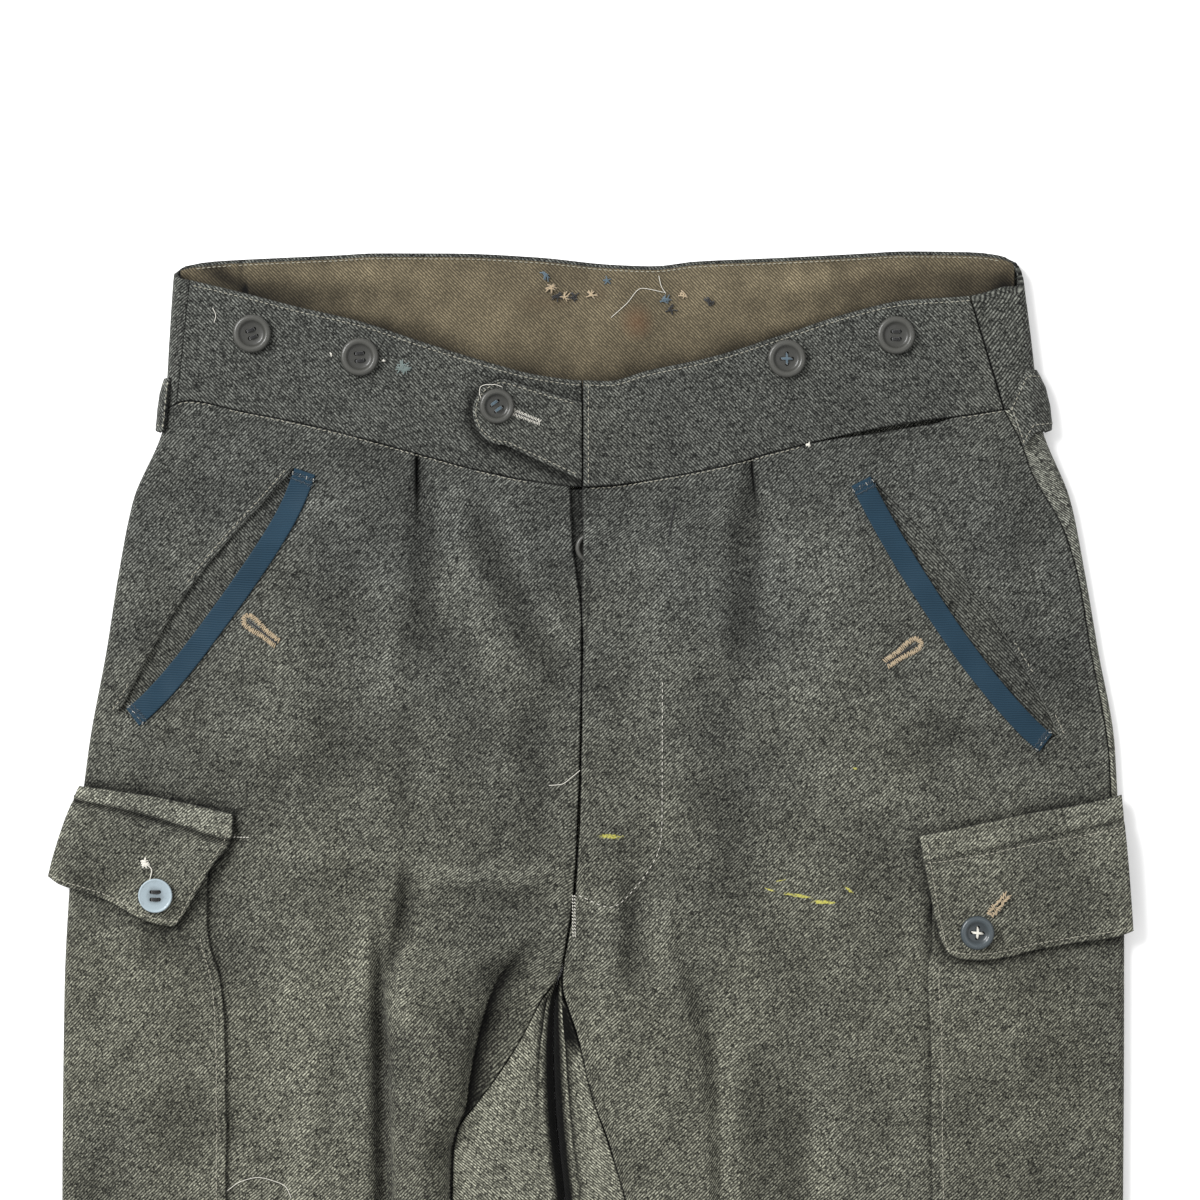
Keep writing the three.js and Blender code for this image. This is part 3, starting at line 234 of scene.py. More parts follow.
# Soft troughs and ridges: from one place to another, bowed sideways, with a width to each side.
FOLDS = table(
    "x0 d0 x1 d1 bow near far height",
    [
        (-81, 94, -82, 120, 0.5, 2.2, 5, -1.5),
        (-81, 98, -77, 205, 2, 7, 9, -2.2),
        (-72, 96, -66, 190, 2, 8, 10, 1.2),
        (-94, 140, -90, 236, -1, 9, 8, 1.3),
        (-87, 165, -87, 305, 1, 4, 5, -0.9),
        (-56, 108, -7, 214, -5, 8, 7, -2.2),
        (-46, 102, 0, 196, -5, 6, 6, 1.2),
        (-62, 120, -28, 236, -4, 6, 9, 0.9),
        (-36, 190, -18, 300, 2, 8, 7, -0.9),
        (-87, 286, -97, 344, 5, 3.6, 3.6, -4.6),
        (-98.5, 316, -92.5, 520, -2, 3.4, 3.2, -5.4),
        (-91, 318, -87, 372, 1, 2.6, 5, 2.6),
        (-104, 318, -103, 350, 0, 3, 3, 1.8),
        (-106, 300, -104, 420, 0, 7, 6, 2.0),
        (-128, 330, -124, 520, 0, 26, 16, 3),
        (-150, 300, -128, 398, 6, 14, 12, 1.1),
        (-138, 392, -142, 470, 0, 6, 6, -1.8),
        (-129, 372, -135, 470, 0, 8, 7, 1.6),
        (-84, 292, -6, 296, -2, 4, 5, 1.5),
        (-80, 303, -16, 304, 1, 6, 5, -1.2),
        (-170, 276, -84, 288, -3, 5, 6, 0.7),
        (-58, 340, -19, 346, 3, 5, 5, -1.2),
        (-62, 360, -30, 354, 3, 4, 5, 1.0),
        (-86, 350, -60, 372, 2, 4, 5, -0.9),
        (-88, 400, -66, 432, 2, 4, 5, -0.9),
        (-206, 130, -172, 190, 3, 6, 7, 0.7),
        (-214, 160, -196, 236, 2, 5, 6, -0.8),
        (-120, 110, -150, 150, 3, 8, 8, 0.8),
        (-112, 208, -160, 262, 4, 9, 9, -0.8),
        (-132, 190, -186, 240, 3, 8, 9, 0.7),
        (75.4, 96, 79, 126, 0.5, 5, 2.2, -1.5),
        (78, 100, 73, 205, -2, 8, 9, -2.2),
        (88, 100, 90, 196, -2, 8, 9, 1.3),
        (62, 100, 58, 210, 0, 9, 8, 0.9),
        (110, 126, 100, 236, 0, 18, 16, 1.5),
        (34, 112, 30, 240, 2, 14, 12, 0.9),
        (36, 113, 37, 140, 0, 2, 2.5, -0.6),
        (20, 286, 21, 352, 0, 5, 5, -2.6),
        (34, 292, 42, 360, 0, 9, 8, 1.1),
        (4, 296, 8, 372, 2, 6, 5, 0.9),
        (52, 246, 78, 330, 5, 9, 10, -1.0),
        (94, 380, 100, 520, 0, 7, 9, -2.4),
        (108, 370, 116, 520, 0, 12, 10, 1.6),
        (64, 350, 66, 520, 0, 5, 9, 1.8),
        (78, 360, 82, 520, 0, 8, 7, -1.8),
        (28, 380, 34, 500, 2, 8, 8, 1.0),
        (120, 296, 150, 300, 3, 6, 7, -0.8),
        (96, 262, 158, 250, 4, 10, 9, 0.9),
        (150, 214, 196, 246, 3, 7, 8, -0.8),
        (160, 236, 228, 252, -3, 8, 7, 0.8),
        (206, 140, 224, 200, 3, 5, 6, 0.9),
        (216, 176, 236, 236, 3, 5, 6, -0.8),
        (-120, 560, -110, 760, 3, 14, 16, 1.4),
        (-190, 520, -200, 700, 3, 12, 14, -1.0),
        (-60, 600, -66, 800, 2, 12, 12, -1.1),
        (-150, 700, -136, 920, 4, 14, 12, 1.0),
        (96, 560, 110, 740, 3, 14, 14, 1.4),
        (170, 540, 178, 720, 3, 12, 14, -1.0),
        (60, 620, 70, 820, 2, 12, 12, -1.1),
        (190, 700, 170, 930, 4, 14, 12, 1.0),
        (-210, 640, -120, 690, 5, 7, 8, 0.8),
        (110, 650, 220, 612, 5, 7, 8, 0.8),
        (-190, 860, -90, 880, 4, 7, 8, -0.8),
        (90, 860, 200, 890, 4, 7, 8, -0.8),
    ],
)
BACK_FOLDS = table(
    "x0 d0 x1 d1 bow near far height",
    [
        (-30, 352, -60, 470, 3, 6, 7, 1.4),
        (-40, 360, -62, 440, 2, 5, 5, -1.2),
        (0, 352, 12, 450, 2, 5, 6, 1.3),
        (-8, 362, 2, 440, 1, 4, 4, -1.0),
    ],
)

# Hip pocket mouths: the tape down the front's edge, and the edge of the side part behind it.
MOUTH = {
    RIGHT: table(
        "x drop side_x side_drop",
        [
            (-133, 104, -139, 102.8),
            (-140, 120.3, -151.5, 117.5),
            (-146.8, 133.5, -165, 132),
            (-153.6, 145.7, -176.5, 144),
            (-162.6, 157, -186, 155.5),
            (-170.8, 167.5, -193.5, 168),
            (-178.4, 179.5, -200.5, 179.5),
            (-187, 190.8, -207.5, 190.5),
            (-195.4, 200.7, -213.5, 202),
            (-204.5, 210, -218, 210.5),
            (-214.5, 220, -221.5, 216.5),
        ],
    ),
    LEFT: table(
        "x drop side_x side_drop",
        [
            (127.4, 108.9, 134, 108.4),
            (135.6, 123.2, 145.5, 119.8),
            (143, 136.7, 157.5, 131),
            (151.4, 151.5, 169, 144.5),
            (160.3, 166, 180, 159.5),
            (169.5, 178.5, 189.5, 172.5),
            (178.5, 190.7, 197.5, 184.5),
            (188, 203.5, 205, 196.5),
            (197, 214.8, 212, 209),
            (206.2, 224.5, 217.5, 220),
            (215, 231.5, 221, 227.4),
        ],
    ),
}
# A flap's four edges: top and bottom from the outer end to the inner, sides from top to bottom.
FLAP = {
    RIGHT: {
        "top": [(-240, 251.5), (-210.1, 255.7), (-188, 259.9), (-166.9, 264.8)],
        "bottom": [(-255, 294.6), (-249.4, 298), (-239.2, 301.1),
            (-226.7, 305.3), (-217.3, 310), (-209, 314.2), (-200, 317.2),
                   (-195.5, 317.6), (-192.6, 316)],
        "outer": [(-240, 251.5), (-244.9, 263.2), (-249.1, 274.5), (-252.9, 286.2), (-255, 294.6)],
        "inner": [(-166.9, 264.8), (-166.9, 273.1), (-169.7, 280.1), (-175.8, 288.6), (-184.2, 302.7),
                  (-190.6, 313.5), (-192.6, 316)],
        "band": (0.16, 0.22), "groove": 1.9, "ridge": 1.1,
    },
    LEFT: {
        "top": [(250.8, 256), (228.9, 260.9), (206.3, 264.6), (178.6, 270.3), (154.6, 275)],
        "bottom": [(256, 320), (245.8, 322.9), (228.9, 325.2), (208.2, 328.9), (195.5, 331.8), (182.8, 333),
                   (174.6, 332.5), (169.8, 330.9), (166.8, 327.8)],
        "outer": [(250.8, 256), (251.9, 269.3), (254.6, 300), (256, 320)],
        "inner": [(154.6, 275), (156.5, 286.2), (159.3, 301.3), (162.4, 315), (164.6, 323),
                  (166.8, 327.8)],
        "band": (0.18, 0.22), "groove": 0.9, "ridge": 0.4,
    },
}
POCKET_TOP = {RIGHT: 276, LEFT: 290}
POCKET_BOTTOM = 490
TAB = {"inner": -3.3, "outer": -54.6, "top": 71.8, "bottom": 108.6, "outer_middle": 76.5, "outer_half": 15.4}
# A strap's stand off the fold is given from behind the edge, over it, to the top.
STRAP = {
    LEFT: {
        "top": 56, "bottom": 86, "end_x": (197, 204.3), "end_drop": (73.8, 93),
        "from": QUARTER, "stand": (0, 3.9, 3.2, 1.8, 1.2),
    },
    RIGHT: {"top": 60, "bottom": 86, "from": 1.1, "stand": (0, 1.9, 1.6, 1.0, 0.5)},
}
STRAP_LAY = 0.5
BRACE_BUTTONS = table("x drop turn", [(-158, 39.6, 20), (-107.4, 50.6, 5), (92.8, 51.4, 45), (144, 40.4, 0)])
TAB_BUTTON = (-43.2, 73.8, 35)
FLY_BUTTON = (0.7, 140, 20)
FLAP_BUTTON = {RIGHT: (-202.6, 302.7, 0), LEFT: (181.4, 319.9, 40)}

# How thick each cloth is, and how far it stays from what it lies on.
WOOL, BAND, BACK_BAND_CLOTH, LINING, TAPE, FACING = 1.6, 2.4, 1.8, 0.8, 0.7, 1.2
POCKET_CLOTH, FLAP_CLOTH, STRAP_CLOTH, UNDERLAP = 1.5, 1.8, 1.5, 1.4
TAPE_WIDTH = 10.2
LAY = 0.3
SEAM = 0.12


# Curves through the tables


def track(rows, key, by="drop"):
    """A smooth curve through a table's rows that never overshoots them."""
    xs, ys = rows[by], rows[key]
    steps = np.diff(xs)
    slopes = np.diff(ys) / steps
    tangents = np.concatenate([slopes[:1], np.zeros(len(xs) - 2), slopes[-1:]])
    before, after = slopes[:-1], slopes[1:]
    same = before * after > 0
    tangents[1:-1][same] = 2 * before[same] * after[same] / (before[same] + after[same])

    def at(x):
        x = np.clip(np.asarray(x, float), xs[0], xs[-1])
        i = np.clip(np.searchsorted(xs, x, side="right") - 1, 0, len(xs) - 2)
        t = (x - xs[i]) / steps[i]
        s = 1 - t
        curve = s * s * (1 + 2 * t) * ys[i] + t * t * (1 + 2 * s) * ys[i + 1]
        return curve + steps[i] * t * s * (s * tangents[i] - t * tangents[i + 1])

    return at


def mix(a, b, t):
    return a + (b - a) * t


def smooth(a, b, x):
    t = np.clip((np.asarray(x, float) - a) / (b - a), 0, 1)
    return t * t * (3 - 2 * t)


edge_radius = track(BODY, "radius")
puff = track(BODY, "puff")
inner_radius = track(INNER_EDGE, "radius")
centre_back = track(CENTRE_BACK, "x")
front_top = track(FRONT_BAND, "top", "x")
front_seam = track(FRONT_BAND, "seam", "x")
back_top = track(BACK_BAND, "top", "x")
EDGE = {side: track(BODY, side) for side in (RIGHT, LEFT)}
LEG_INNER = {side: track(INNER_EDGE, side) for side in (RIGHT, LEFT)}
CUT = {side: track(FRONT[side], "inner") for side in (RIGHT, LEFT)}
CREASE = {side: track(FRONT[side], "crease") for side in (RIGHT, LEFT)}
CREST = {RIGHT: track(FRONT[RIGHT], "crest"), LEFT: CUT[LEFT]}
POCKET_EDGE = {side: track(FRONT[side], "pocket") for side in (RIGHT, LEFT)}
SIDE_SEAM = {side: track(FRONT[side], "seam") for side in (RIGHT, LEFT)}
RISE = {side: track(FRONT[side], "rise") for side in (RIGHT, LEFT)}


# Heights of the laid cloth


def fold_height(folds, x, drop):
    """The height of the soft folds at places on the cloth."""
    x, drop = np.broadcast_arrays(np.asarray(x, float), np.asarray(drop, float))
    height = np.zeros(x.shape)
    for x0, d0, x1, d1, bow, near, far, rise in rows_of(folds):
        dx, dd = x1 - x0, d1 - d0
        long = math.hypot(dx, dd)
        along = ((x - x0) * dx + (drop - d0) * dd) / (long * long)
        side = ((x - x0) * dd - (drop - d0) * dx) / long - bow * 4 * along * (1 - along)
        width = np.where(side < 0, near, far)
        window = smooth(0, 0.25, along) * smooth(1, 0.7, along)
        height += rise * np.exp(-((side / width) ** 2)) * window
    return height


RIPPLE_WAVES = np.random.default_rng(7).uniform(0, 1, (26, 4))


def ripple(x, drop):
    """Low uneven swells and puckers of cloth that has been worn and laid out."""
    total = np.zeros(np.broadcast(x, drop).shape)
    for i, (heading, length, phase, bend) in enumerate(RIPPLE_WAVES):
        angle = QUARTER * (1 + (heading - 0.5) * 0.9) if i % 3 else (heading - 0.5) * 0.8
        wave = mix(70, 11, (i / len(RIPPLE_WAVES)) ** 0.7) * mix(0.8, 1.2, length)
        run = x * math.cos(angle) + drop * math.sin(angle) + 9 * np.sin((x - drop) / (60 + 50 * bend))
        total = total + 0.0052 * wave * np.sin(2 * math.pi * (run / wave + phase))
    return total


def base_height(side, x, drop):
    """The height of the body's upper surface without the folds."""
    radius, sign = edge_radius(drop), SIGN[side]
    from_edge = np.abs(x - EDGE[side](drop))
    from_inner = np.maximum(0, (x - LEG_INNER[side](drop)) * sign)
    trunk = puff(drop) * smooth(radius, 70, from_edge)
    inner = inner_radius(drop)
    leg = 2 * (inner - radius) * (1 - smooth(inner, 75, from_inner))
    leg = leg + puff(drop) * smooth(radius, 55, from_edge) * smooth(inner, 45, from_inner)
    return 2 * radius + mix(trunk, leg, smooth(332, 384, drop))


def dome(side, share):
    """The profile of the big fold between the crease and the crest."""
    inside = np.clip(share, 0, 1)
    if side == RIGHT:
        return np.sin(math.pi * inside**1.15).clip(0) ** 0.62
    return smooth(0, 0.16, inside) * smooth(1.02, 0.2, inside)


def pleat_height(side, x, drop):
    """The step of the pressed pleat under the waistband: the outer cloth laps over the inner."""
    out = (x - CREASE[side](drop)) * SIGN[side]
    step = np.where(out > 0, 1.5 * np.exp(-out / 9), -1.7 * np.exp(out / 6))
    return step * smooth(136, 108, drop)


def front_height(side, x, drop):
    x, drop = np.broadcast_arrays(np.asarray(x, float), np.asarray(drop, float))
    crease, crest = CREASE[side](drop), CREST[side](drop)
    share = (x - crease) / (crest - crease)
    near_edge = smooth(0, 16, np.abs(x - EDGE[side](drop)) - edge_radius(drop))
    near_cut = smooth(0, 7, np.abs(x - CUT[side](drop)) + 2)
    z = base_height(side, x, drop) + RISE[side](drop) * dome(side, share)
    z = z + (fold_height(FOLDS, x, drop) + ripple(x, drop)) * near_edge * near_cut
    z = z + pleat_height(side, x, drop)
    if side == LEFT:
        lift = mix(1.2, 3.2, np.exp(-(((drop - 138) / 34) ** 2))) * smooth(322, 290, drop)
        z = z + lift * np.exp(-np.maximum(0, x - CUT[side](drop)) / 22)
    return z


def band_height(side, x, drop):
    lift = 3.4 * np.exp(-np.maximum(0, x + 2.8) / 26) if side == LEFT else 0
    sway = 0.28 * np.sin(np.asarray(x, float) / 9.5 + 1.2 * np.sin(drop / 15)) * smooth(190, 150, np.abs(x))
    return base_height(side, x, drop) + lift + sway


def place(x, drop, z):
    x, drop, z = np.broadcast_arrays(np.asarray(x, float), np.asarray(drop, float), np.asarray(z, float))
    return np.stack([x, LENGTH / 2 - drop, z], axis=-1)


def roll_point(edge, radius, sign, drop, angle):
    """A point of the fold along an edge: the angle is 0 at the edge and a quarter turn on top."""
    x = edge - sign * radius * (1 - np.cos(angle))
    return place(x, drop, radius * (1 + np.sin(angle)))


def edge_point(side, drop, angle):
    return roll_point(EDGE[side](drop), edge_radius(drop), SIGN[side], drop, angle)


def roll_top(side, drop):
    """Where the fold along a side meets the garment's upper surface."""
    return EDGE[side](drop) - SIGN[side] * edge_radius(drop)


def inner_point(side, drop, angle):
    return roll_point(LEG_INNER[side](drop), inner_radius(drop), -SIGN[side], drop, angle)


UNDER_FOLDS = table(
    "x0 d0 x1 d1 bow near far height",
    [
        (-60, 330, -150, 400, 6, 9, 12, 1.6),
        (-70, 372, -170, 380, 5, 7, 9, 1.2),
        (50, 326, 140, 410, -6, 9, 12, 1.5),
        (66, 380, 176, 372, -5, 7, 9, 1.2),
        (-120, 90, -110, 210, 3, 8, 10, 1.0),
        (104, 92, 96, 190, -3, 8, 10, 1.1),
        (-190, 560, -90, 600, 6, 8, 10, 1.1),
        (96, 590, 200, 548, 5, 9, 8, 1.2),
        (-130, 620, -118, 930, 6, 10, 12, 1.2),
        (122, 600, 132, 900, -6, 10, 12, 1.3),
        (-200, 760, -150, 800, 4, 7, 8, 0.9),
        (150, 830, 210, 800, 4, 7, 8, 0.9),
    ],
)


def under_height(x, drop):
    """How far creases lift the backs off what the garment lies on."""
    return np.maximum(0, fold_height(UNDER_FOLDS, x, drop))


def rows_between(first, last, fine, coarse_from=460, coarse=9):
    """Drops of a panel's rows: close together where the folds are, wider below."""
    near = np.arange(first, min(last, coarse_from), fine)
    far = np.arange(coarse_from, last, coarse) if last > coarse_from else np.array([])
    return np.concatenate([near, far, [last]])[:, None]


# Cloth shells


def normals_of(grid, facing):
    across = np.gradient(grid, axis=1)
    down = np.gradient(grid, axis=0)
    normal = np.cross(across, down)
    normal /= np.linalg.norm(normal, axis=2, keepdims=True) + 1e-12
    return normal if normal[..., 2].sum() * facing > 0 else -normal


def moved_out(grid, distance, facing=1):
    return grid + normals_of(grid, facing) * np.asarray(distance)[..., None]


def with_hem_lines(grid, offsets):
    """Sets lines of points at distances inside each cut edge, and keeps the other lines clear of them."""
    for axis in (0, 1):
        g = np.moveaxis(grid, axis, 0)
        for _ in range(2):
            step = np.linalg.norm(np.diff(g[..., :3], axis=0), axis=-1)
            run = np.concatenate([np.zeros((1, g.shape[1])), np.cumsum(step, axis=0)])
            across = np.arange(g.shape[1])
            kept = np.flatnonzero(np.median(run, axis=1) > offsets[-1] * 1.1)
            clear = [np.maximum(run[k], offsets[-1] + 0.05 * (n + 1)) for n, k in enumerate(kept)]
            lines = [g[0]]
            for d in [*offsets, *clear]:
                i = np.clip((run < d).sum(axis=0), 1, len(g) - 1)
                before, after = run[i - 1, across], run[i, across]
                t = np.clip((d - before) / (after - before + 1e-9), 0, 1)
                lines.append(mix(g[i - 1, across], g[i, across], t[:, None]))
            g = np.array(lines)[::-1]
        grid = np.moveaxis(g, 0, axis)
    return grid


def flat_coordinates(grid):
    """Distances over the surface, across and down, so that a weave follows the cloth."""
    middle = grid.shape[1] // 2
    step = np.diff(grid, axis=1)
    along = np.hypot(step[..., 0], step[..., 2])
    u = np.concatenate([np.zeros((len(grid), 1)), np.cumsum(along, axis=1)], axis=1)
    u = u - u[:, middle : middle + 1]
    if np.sum(step[..., 0]) < 0:
        u = -u
    u = u + grid[:, middle : middle + 1, 0]
    step = np.diff(grid, axis=0)
    along = np.hypot(step[..., 1], step[..., 2])
    v = np.concatenate([np.zeros((1, grid.shape[1])), -np.cumsum(along, axis=0)], axis=0)
    return np.stack([u, v + grid[:1, :, 1]], axis=-1)


# How a cut edge is painted at distances inside it: dark at the very edge as painted shade in its crevice, and paler a
# little inside along its roll; where it is sewn down, and where it lies free.
SEAMED = table("offset rub", [(0, -1.1), (0.2, -0.7), (0.55, 0.1), (1.1, 0.2)])
FREE = table("offset rub", [(0, -1.3), (0.3, -0.5), (0.75, 0.45), (1.7, 0.1)])


def cut_size(flat):
    """The width and length of the smallest turned rectangle that a panel is cut from."""
    sizes = []
    for turn in np.radians(np.arange(0, 90, 3)):
        axes = np.array([[math.cos(turn), -math.sin(turn)], [math.sin(turn), math.cos(turn)]])
        sizes.append(np.ptp(flat @ axes, axis=0))
    return [float(side) for side in min(sizes, key=lambda size: size[0] * size[1])]


def edge_lines(i, quiet):
    """The grid lines that lie i lines inside each edge, with how strong the edge looks."""
    lines = {"top": np.s_[i, :], "bottom": np.s_[-1 - i, :], "start": np.s_[:, i], "end": np.s_[:, -1 - i]}
    return [(line, 0.3 if where == quiet else 1) for where, line in lines.items()]


def painted_hem_light(relief, edge, quiet):
    """Painted shade in the crevice at a cut edge, and paler a little inside it along the edge's roll."""
    relief = relief.copy()
    for i, value in reversed(list(enumerate(edge["rub"]))):
        for line, strength in edge_lines(i, quiet):
            painted_light_level = value * strength
            relief[line] = np.minimum(relief[line], painted_light_level) if value < 0 else relief[line] + painted_light_level
    return relief


def border(grid, sides):
    """The places, by x and drop, along some edges of a grid."""
    lines = {"top": grid[0], "bottom": grid[-1], "start": grid[:, 0], "end": grid[:, -1]}
    places = np.concatenate([spline(lines[side][:, :2], 3 * len(lines[side])) for side in sides.split()])
    return places[:, 0], drop_of(places)


def shade_beside(grid, x, drop, depth, reach):
    """Painted shadow: the relief of a cloth, darker beside the edge of what lies on it."""
    away = np.full(grid.shape[:2], 1e9)
    for at_x, at_drop in zip(x, drop):
        away = np.minimum(away, np.hypot(grid[..., 0] - at_x, drop_of(grid) - at_drop))
    return -depth * np.exp(-((away / reach) ** 1.4))


def cloth(name, grid, thickness, facing=1, roll=0.9, relief=None, edge=SEAMED, quiet=""):
    """A closed shell of cloth under a grid of outer points, with its cut edges rolled over."""
    relief = np.zeros(grid.shape[:2]) if relief is None else relief
    lined = with_hem_lines(np.concatenate([grid, relief[..., None]], axis=-1), edge["offset"][1:])
    grid, relief = lined[..., :3], painted_hem_light(lined[..., 3], edge, quiet)
    rows, columns = grid.shape[:2]
    normal = normals_of(grid, facing)
    roll = min(roll, thickness * 0.6)
    inset = np.zeros((rows, columns))
    for i, d in enumerate(edge["offset"]):
        sunk = roll - math.sqrt(max(0, roll**2 - max(0, roll - d) ** 2))
        for line, strength in edge_lines(i, quiet):
            inset[line] = np.maximum(inset[line], sunk * strength)
    outer = grid - normal * inset[..., None]
    inner = grid - normal * thickness
    points = np.concatenate([outer.reshape(-1, 3), inner.reshape(-1, 3)]) * MM
    index = np.arange(rows * columns).reshape(rows, columns)
    under = index + rows * columns
    up = np.stack([index[:-1, :-1], index[:-1, 1:], index[1:, 1:], index[1:, :-1]], -1).reshape(-1, 4)
    down = np.stack([under[:-1, :-1], under[1:, :-1], under[1:, 1:], under[:-1, 1:]], -1).reshape(-1, 4)
    rim = np.concatenate([index[0, :-1], index[:-1, -1], index[-1, :0:-1], index[:0:-1, 0]])
    following = np.roll(rim, -1)
    wall = np.stack([following, rim, rim + rows * columns, following + rows * columns], -1)
    quads = np.concatenate([up, down, wall])
    first = points[quads[0]]
    if np.dot(np.cross(first[1] - first[0], first[2] - first[1]), normal[0, 0]) < 0:
        quads = quads[:, ::-1]
    mesh = bpy.data.meshes.new(name)
    mesh.from_pydata(points.tolist(), [], quads.tolist())
    flat = flat_coordinates(grid).reshape(-1, 2) * MM
    flat = np.concatenate([flat, flat])
    layer = mesh.uv_layers.new(name="cut")
    corner = np.zeros(len(mesh.loops), int)
    mesh.loops.foreach_get("vertex_index", corner)
    layer.data.foreach_set("uv", flat[corner].astype(np.float32).ravel())
    attribute = mesh.attributes.new("relief", "FLOAT", "POINT")
    attribute.data.foreach_set("value", np.concatenate([relief.ravel(), relief.ravel()]).astype(np.float32))
    mesh.shade_smooth()
    mesh.validate()
    piece = linked(name, mesh)
    faces = np.cross(np.diff(grid, axis=1)[:-1], np.diff(grid, axis=0)[:, :-1])
    piece["cut_width"], piece["cut_length"] = cut_size(flat)
    piece["cut_area"] = float(np.linalg.norm(faces, axis=-1).sum() * MM * MM)
    return piece


def finished(piece, nodes, material):
    piece.data.materials.clear()
    piece.data.materials.append(material)
    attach(piece, "root")
    if nodes:
        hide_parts(*nodes)
    return piece


# Shapes of the panels


def front_drop(x, row):
    rest = 1 - np.clip((row - BAND_SEAM_DROP) / 190, 0, 1)
    return row + (front_seam(x) - BAND_SEAM_DROP) * rest


def open_seam(side, x, row):
    """How far the front has come away from the waistband where its seam has opened."""
    if side == RIGHT:
        return 0 * x
    below = smooth(BAND_SEAM_DROP + 12, BAND_SEAM_DROP, row)
    return 2.1 * smooth(102, 140, x) * smooth(173, 160, x) * below


LOBE_COLUMNS = 14  # between the crest of the right front's big fold and its cut edge


def front_grid(side):
    """A front's outer surface, from the side seam to the inner cut edge."""
    sign = SIGN[side]
    rows = rows_between(BAND_SEAM_DROP + SEAM, LENGTH, 2.7)

    def start(d):
        return roll_top(side, d) if side == RIGHT else SIDE_SEAM[side](d) - sign * SEAM

    def cut_edge(d):
        return CUT[side](d) + sign * SEAM

    lines = [start, POCKET_EDGE[side], CREASE[side]]
    counts = [24, 34]
    if side == RIGHT:
        lines += [CREST[side], cut_edge]
        counts += [46, LOBE_COLUMNS]
    else:
        lines += [cut_edge]
        counts += [46]
    parts = []
    if side == RIGHT:
        angles = np.linspace(SEAM / 3.5, QUARTER, 7)[None, :-1]
        x = edge_point(side, rows, angles)[..., 0]
        parts.append(edge_point(side, front_drop(x, rows), angles))
    for i, (a, b, count) in enumerate(zip(lines[:-1], lines[1:], counts)):
        last = i == len(counts) - 1
        share = np.linspace(0, 1, count + 1)
        if i == 3:
            share = share**1.6
        if i == 1:
            share = 1 - (1 - share) ** 1.5
        if i == 2:
            share = mix(share, share**1.5, 0.9 * (1 - share))
        share = share[None, : None if last else -1]
        drop = rows + 0 * share
        x = mix(a(drop), b(drop), share)
        for _ in range(5):
            drop = front_drop(x, rows)
            x = mix(a(drop), b(drop), share)
        drop = drop + open_seam(side, x, rows)
        z = front_height(side, x, drop)
        if side == RIGHT and i > 1:
            bulge = np.minimum(2.6, 0.5 * (CUT[side](drop) - CREST[side](drop)))
            bulge = bulge * smooth(0, 10, RISE[side](drop))
            x = x + bulge * (smooth(0.72, 0.93, share) if i == 2 else 1 - share)
        parts.append(place(x, drop, z))
    return np.concatenate(parts, axis=1)


# A back's columns on top of the leg, from its cut edge, and then round the inner leg's fold.
WRAP_COLUMNS, ROLL_COLUMNS = 14, 13


def back_grid(side):
    """A back's outer surface, from its inner cut edge, round the inner leg, underneath and up the side."""
    sign = SIGN[side]
    rows = rows_between(BAND_SEAM_DROP + SEAM, LENGTH, 4.2)[:, 0]
    grid = []
    for row in rows:
        wrapped = smooth(326, 343, row)
        start = CUT[side](row) - sign * (SEAM + 0.1)
        radius = inner_radius(row)
        to = LEG_INNER[side](row) + sign * radius
        beyond = (start - to) * sign
        end = math.acos(min(0.96, max(-0.2, -beyond / radius)))
        if beyond > 2:
            share = np.linspace(0, 1, WRAP_COLUMNS + 1)[:-1]
            x = mix(start, to, share)
            z = mix(base_height(side, x, row) - 0.5, 2 * radius, share**2)
            z = z + fold_height(BACK_FOLDS, x, row) * np.sin(math.pi * share)
            on_top = place(x, row, z)
            angles = np.linspace(QUARTER, -QUARTER, ROLL_COLUMNS)
        else:
            on_top = inner_point(side, row, np.linspace(end, end * 0.8, WRAP_COLUMNS + 1)[:-1])
            angles = np.linspace(end * 0.8, -QUARTER, ROLL_COLUMNS)
        inner = np.concatenate([on_top, inner_point(side, row, angles)])
        flat = place(centre_back(row) + sign * (SEAM + 1.1 * np.arange(len(inner))), row, 0.0)
        points = [mix(flat, inner, wrapped)]
        first, last = points[0][-1, 0], edge_point(side, row, -QUARTER)[0]
        x = np.linspace(first, last, 44)[1:-1]
        from_ends = smooth(0, 12, np.abs(x - first)) * smooth(0, 12, np.abs(x - last))
        points.append(place(x, row, under_height(x, row) * from_ends))
        if side == RIGHT:
            points.append(edge_point(side, row, np.linspace(-QUARTER, -SEAM / 3.5, 7)))
        else:
            points.append(edge_point(side, row, np.linspace(-QUARTER, QUARTER, 13)[:-1]))
            roll = edge_point(side, row, QUARTER)[0]
            x = np.linspace(roll, min(SIDE_SEAM[side](row) + sign * SEAM, roll - 0.01), 8)
            points.append(place(x, row, base_height(side, x, row)))
        grid.append(np.concatenate(points))
    return np.array(grid)


def right_band_end(share):
    """Where the right front waistband meets the back one, from its top edge to its seam."""
    return mix(-187.4, -193.6, share)


def band_front_grid(side):
    down = np.linspace(0, 1, 34)[:, None]
    if side == RIGHT:
        x = mix(right_band_end(down) + 0.1, -3.2, np.linspace(0, 1, 130)[None, :])
    else:
        end = mix(178.8, 194.9, down)
        x = mix(-2.5, end, np.linspace(0, 1, 90)[None, :])
    drop = mix(front_top(x), front_seam(x) - SEAM, down)
    return place(x, drop, band_height(side, x, drop))


